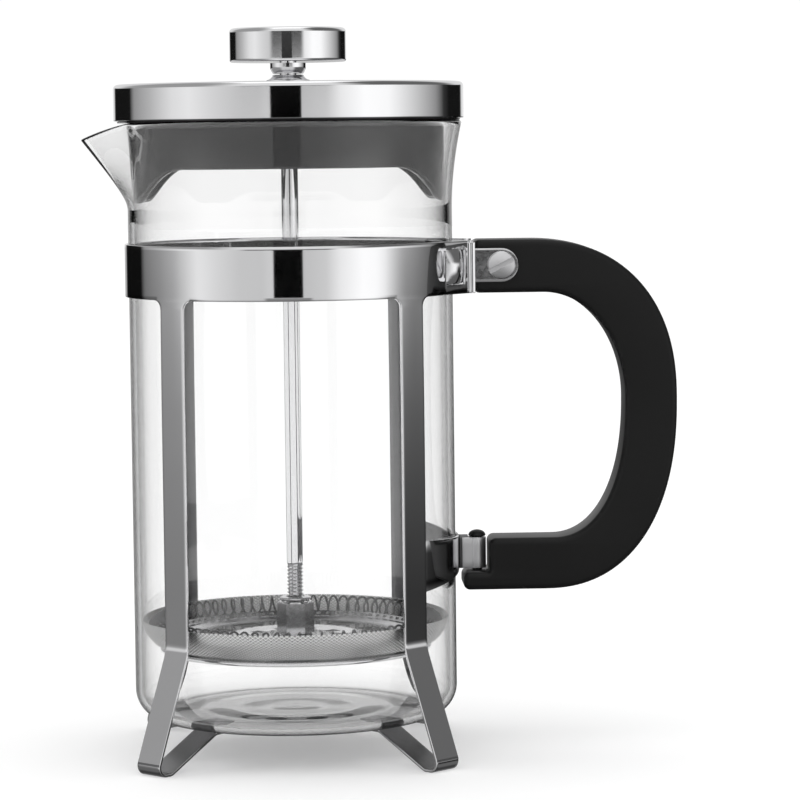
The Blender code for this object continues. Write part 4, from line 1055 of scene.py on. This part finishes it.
def strap_plan():
    """A strap from above, as (x, y, bulge x, bulge y), from the handle into the flap's window."""
    start = ring_point(LEAVES)
    end = (FLAP_END[0], -FLAP_END[1])
    length = hypot(end[0] - start[0], end[1] - start[1])
    ux, uy = (end[0] - start[0]) / length, (end[1] - start[1]) / length

    def beside(along, out):
        """A point at a distance along the flap and out from it."""
        return (start[0] + ux * along - uy * out, start[1] + uy * along + ux * out)

    strap_y = half("handle", 1) + GAP + STRAP_SHEET / 2
    behind = SHEET / 2 + GAP + STRAP_SHEET / 2
    near = WINDOW[1]
    bx, by = beside(near, -behind)
    meet_x = bx + (strap_y - by) * ux / uy
    corners = [(SCREW_X + STRAP_HALF, strap_y, 0), (meet_x, strap_y, 1.5 * MM), (bx, by, 0)]
    plan = [(x, y, 0, 0) for x, y in spaced(rounded(corners, 8), 0.6 * MM)]
    first, last, steps = near - 0.3 * MM, WINDOW[0] + 0.9 * MM, 24
    for i in range(steps + 1):
        share = i / steps
        x, y = beside(first + (last - first) * share, -behind)
        swell = STRAP_BULGE * sin(pi * share) ** 0.8
        plan.append((x, y, -uy * swell, ux * swell))
    return plan


def make_strap(name, side, node):
    """A clasp strap with its round end, as a bent sheet."""
    plan = strap_plan()
    plan = [(SCREW_X + STRAP_HALF * cos(radians(a)), plan[0][1], 0, 0)
            for a in range(0, 90, 9)] + [p for p in plan if p[0] < SCREW_X - 0.01 * MM]
    half_at = []
    for x, _, _, _ in plan:
        past = max(x - SCREW_X, 0) / STRAP_HALF
        half_at.append(STRAP_HALF * sqrt(max(1 - past ** 2, 0.0004)))
    rows = 12

    def place(column, row):
        """A point of the strap's sheet, bulging most along its middle."""
        x, y, out_x, out_y = plan[column]
        level = 2 * row / rows - 1
        swell = 1 - 0.45 * level ** 2
        return (AXIS_X + x + out_x * swell, side * (y + out_y * swell), STRAP_Z + half_at[column] * level)

    work = bmesh.new()
    grid(work, len(plan), rows + 1, place)
    mesh = thickened(name, work, STRAP_SHEET, 0.18 * MM, 35)
    new_object(name, mesh, "stand", FILTER_STEEL, node)


def make_screw():
    """The slotted screw, turned about its own axis and laid along Y."""
    head, tail = -low("handle_screw").y, -high("handle_screw").y
    seat = -low("handle_screw_nut").y
    r, shank = half("handle_screw", 2), 2.0 * MM
    crown, corner, tip = 0.5 * MM, 0.35 * MM, 0.3 * MM
    profile = [(0, head)]
    for i in range(1, 7):
        share = i / 6
        profile.append((r * 0.93 * share, head - crown * share ** 2))
    profile += arc((r - corner, head - crown - corner), corner, 70, 0, 5)
    profile += [(r, seat), (shank, seat), (shank, tail + tip), (shank - tip, tail), (0, tail)]
    obj = turned("slotted_screw", profile, "stand", BRACKET_STEEL, "handle_screw", 72,
                 False, place=Matrix.Translation((-AXIS_X, 0, 0)))
    slot = Matrix.Translation((0, 0, head)) @ Matrix.Rotation(radians(27), 4, "Z")
    cut(obj, [cutter_box((4 * r, 1.4 * MM, 2.0 * MM), slot)], 35)
    obj.data.transform(Matrix.Translation((AXIS_X + SCREW_X, 0, STRAP_Z))
                       @ Matrix.Rotation(pi / 2, 4, "X"))


def make_screw_nut():
    """The hexagonal nut on the far strap, laid along Y."""
    foot, top = span("handle_screw_nut", 1)
    r = half("handle_screw_nut", 0)
    flat, bore = r * cos(pi / 6), 2.3 * MM
    profile = [(bore, top), (flat - 0.1 * MM, top), (r, top - 0.5 * MM), (r, foot), (bore, foot)]
    turned("screw_nut", profile, "stand", STEEL, "handle_screw_nut", 96,
           warp=hexagonal(flat, bore), limit=25, place=Matrix.Translation((AXIS_X + SCREW_X, 0, STRAP_Z))
           @ Matrix.Rotation(-pi / 2, 4, "X") @ Matrix.Translation((-AXIS_X, 0, 0)))


def make_bracket():
    """The strip wrapped round the pin, with its two tails."""
    foot, top = span("lower_bracket")
    sheet = 0.9 * MM
    barrel = PIN_SHANK + GAP + sheet / 2
    tail_y = 0.6 * MM + SHEET / 2 + GAP + sheet / 2
    tail_x = low("lower_bracket").x - AXIS_X
    meet = degrees(asin(tail_y / barrel))
    plan = [(tail_x, -tail_y), (tail_x + MM, -tail_y)]
    plan += arc((BARREL_X, 0), barrel, -180 + meet, 180 - meet, 40)
    plan += [(tail_x + MM, tail_y), (tail_x, tail_y)]
    work = bmesh.new()
    grid(work, len(plan), 5, lambda c, r: (AXIS_X + plan[c][0], plan[c][1], foot + (top - foot) * r / 4))
    mesh = thickened("knuckle_bracket", work, sheet, 0.12 * MM, 35)
    new_object("knuckle_bracket", mesh, "stand", BRACKET_STEEL, "lower_bracket")


def make_pin():
    """The pin under its black domed head."""
    foot, top = span("lower_bracket_pin")
    seat = high("lower_bracket").z + GAP
    r, edge = reach("lower_bracket_pin"), 0.25 * MM
    profile = [(0, top)]
    for level in (78, 66, 54, 42, 30, 18, 6):
        a = radians(level)
        profile.append((r * cos(a), seat + edge + (top - seat - edge) * sin(a)))
    profile += [(r, seat + 0.2 * MM), (r - 0.15 * MM, seat), (PIN_SHANK, seat), (PIN_SHANK, foot),
                (0, foot)]
    turned("domed_pin", profile, "stand", BLACK, "lower_bracket_pin", 48, False,
           place=Matrix.Translation((BARREL_X, 0, 0)))


# ---- the press

make_beaker()
make_cap()
make_insert()
make_collar()
hex_nut("hex_lid_nut", "lid_nut", 4.5 * MM, 0.6 * MM, "lid", STEEL)
make_knob()
make_neck()
make_rod()
make_lock_nut()
hex_nut("hex_hub_nut", "hub_nut", 4.3 * MM, 0.5 * MM, "plunger", FILTER_STEEL)
make_stud()
make_spring_plate()
make_coil()
make_screen()
make_base_plate()
make_frame()
make_handle()
make_strap("front_clasp_strap", -1, "clasp_strap_front")
make_strap("rear_clasp_strap", 1, "clasp_strap_rear")
make_screw()
make_screw_nut()
make_bracket()
make_pin()


# ---- studio

STUDIO_TURN = radians(2.0)
SOFT_BOXES = [(-180, 0.85), (-162, 0.85), (-156, 0.008), (-125, 0.008), (-119, 0.34), (-100, 0.56),
              (-80, 0.90), (-66, 0.99), (-50, 0.83), (-34, 0.70), (-18, 0.68), (-13, 0.74), (13, 0.66),
              (26, 0.74), (36, 1.02), (52, 1.25), (70, 1.20), (84, 0.90), (100, 0.58), (114, 0.33),
              (124, 0.04), (132, 0.008), (156, 0.008), (162, 0.85), (180, 0.85)]

def degrees_ramp(tree, angle, stops):
    """A grey ramp over a full turn, from stops at (degrees, brightness)."""
    factor = put(tree, "ShaderNodeMapRange", {"Value": angle, "From Min": -pi,
                                              "From Max": pi}).outputs["Result"]
    return ramp(tree, factor, [((d + 180) / 360, v) for d, v in stops])


def between(tree, value, start, end):
    """0 before start and 1 after end, smoothly."""
    node = put(tree, "ShaderNodeMapRange", {"Value": value, "From Min": start, "From Max": end},
               interpolation_type="SMOOTHSTEP")
    return node.outputs["Result"]


def before(tree, value, start, end):
    """1 before start and 0 after end, smoothly."""
    return calc(tree, "SUBTRACT", 1.0, between(tree, value, start, end))


def product(tree, first, *others):
    """Several values multiplied together."""
    for other in others:
        first = calc(tree, "MULTIPLY", first, other)
    return first


def in_degrees(tree, value):
    """An angle in radians, turned to degrees."""
    return calc(tree, "MULTIPLY", value, 180 / pi)


def mix(tree, factor, a, b):
    """a where factor is 0, b where it is 1."""
    difference = calc(tree, "SUBTRACT", b, a)
    return calc(tree, "MULTIPLY_ADD", difference, factor, a)


def wall_light(tree, side, away, rise, drop, right):
    """What mirrors see near the horizon: soft boxes, dark cards, the camera's slot and a stripe."""
    left_fall = mix(tree, calc(tree, "POWER", EULER, calc(tree, "MULTIPLY", drop, -0.40)), 0.3, 1.0)
    right_fall = calc(tree, "POWER", EULER, calc(tree, "MULTIPLY", drop, -0.38))
    fall = mix(tree, between(tree, away, 60.0, 90.0), 1.0, mix(tree, right, left_fall, right_fall))
    wall = calc(tree, "MULTIPLY", degrees_ramp(tree, side, SOFT_BOXES), fall)
    low_centre = product(tree, before(tree, away, 14.0, 18.0), between(tree, drop, 4.5, 6.0))
    wall = mix(tree, low_centre, wall, 0.28)
    slot = product(tree, before(tree, away, 9.6, 10.4), before(tree, drop, 3.6, 4.6),
                   before(tree, rise, 4.0, 6.0))
    wall = mix(tree, slot, wall, 0.0)
    stripe = product(tree, before(tree, away, 26.0, 36.0), between(tree, rise, 1.15, 1.3),
                     before(tree, rise, 5.0, 8.0))
    return mix(tree, stripe, wall, 0.055)


def sky_light(tree, away, rise, right):
    """What mirrors see above the wall: brighter ahead, behind and overhead than at the sides."""
    sky = mix(tree, between(tree, away, 30.0, 62.0), 0.85, mix(tree, right, 0.38, 0.15))
    sky = mix(tree, between(tree, away, 125.0, 150.0), sky, 0.8)
    return mix(tree, between(tree, rise, 56.0, 75.0), sky, 0.9)


def make_world():
    """A white sweep, with two tall soft boxes, dark cards and the camera's slot in reflections.

    Rays that have met no mirror see a plain white sweep."""
    world = bpy.data.worlds.new("studio")
    bpy.context.scene.world = world
    world.use_nodes = True
    tree = world.node_tree
    ray = put(tree, "ShaderNodeTexCoord").outputs["Generated"]
    split = put(tree, "ShaderNodeSeparateXYZ", {"Vector": ray})
    ahead = calc(tree, "MULTIPLY", split.outputs["Y"], -1.0)
    side = calc(tree, "ADD", calc(tree, "ARCTAN2", split.outputs["X"], ahead), STUDIO_TURN)
    rise = in_degrees(tree, calc(tree, "ARCSINE", split.outputs["Z"]))
    away = in_degrees(tree, calc(tree, "ABSOLUTE", side))
    drop = calc(tree, "MAXIMUM", calc(tree, "MULTIPLY", rise, -1.0), 0.0)
    right = between(tree, side, -0.3, 0.3)
    wall = wall_light(tree, side, away, rise, drop, right)
    above = mix(tree, between(tree, rise, 2.6, 6.0), wall, sky_light(tree, away, rise, right))
    table = mix(tree, between(tree, drop, 10.0, 20.0), above, 0.14)
    studio = mix(tree, between(tree, drop, 34.0, 44.0), table, 0.05)
    path = put(tree, "ShaderNodeLightPath").outputs
    mirrored = calc(tree, "GREATER_THAN", path["Glossy Depth"], 0.5)
    diffused = calc(tree, "GREATER_THAN", path["Diffuse Depth"], 0.5)
    seen = mix(tree, diffused, mix(tree, mirrored, 1.02, studio), 1.12)
    tree.links.new(seen, tree.nodes["Background"].inputs["Color"])


def make_floor():
    """A pale ground, far wider than the view. Mirrors don't see it."""
    work = bmesh.new()
    bmesh.ops.create_circle(work, cap_ends=True, segments=96, radius=6.0)
    ground = linked("floor", as_mesh("floor", work))
    made, _, shader = new_material("pale_floor")
    fix(shader, "Base Color", (0.97, 0.97, 0.97, 1))
    fix(shader, "Roughness", 0.9)
    fix(shader, "Specular IOR Level", 0.0)
    ground.data.materials.append(made)
    ground.visible_glossy = False


def make_light():
    """One large soft light from above and in front."""
    data = bpy.data.lights.new("overhead", "AREA")
    data.shape = "RECTANGLE"
    data.size, data.size_y = 1.2, 0.8
    data.energy = 2.0
    light = linked("overhead", data)
    light.location = (0, -0.3, 1.6)
    light.rotation_euler = (radians(-10), 0, 0)


def make_camera():
    """The photograph's view: level with the lid, a little over a metre away."""
    data = bpy.data.cameras.new("camera")
    data.sensor_width = 36
    data.lens = 157.5
    data.clip_start, data.clip_end = 0.01, 50
    camera = linked("camera", data)
    tilt, roll = radians(-4.33), radians(-0.67)
    camera.matrix_world = (Matrix.Translation((AXIS_X, 0, 0)) @ Matrix.Rotation(-STUDIO_TURN, 4, "Z")
                           @ Matrix.Translation((32.3 * MM, -1.05, 0.185))
                           @ Matrix.Rotation(pi / 2 + tilt, 4, "X") @ Matrix.Rotation(roll, 4, "Z"))
    bpy.context.scene.camera = camera


make_world()
make_floor()
make_light()
make_camera()
bpy.context.scene.view_settings.view_transform = "Standard"
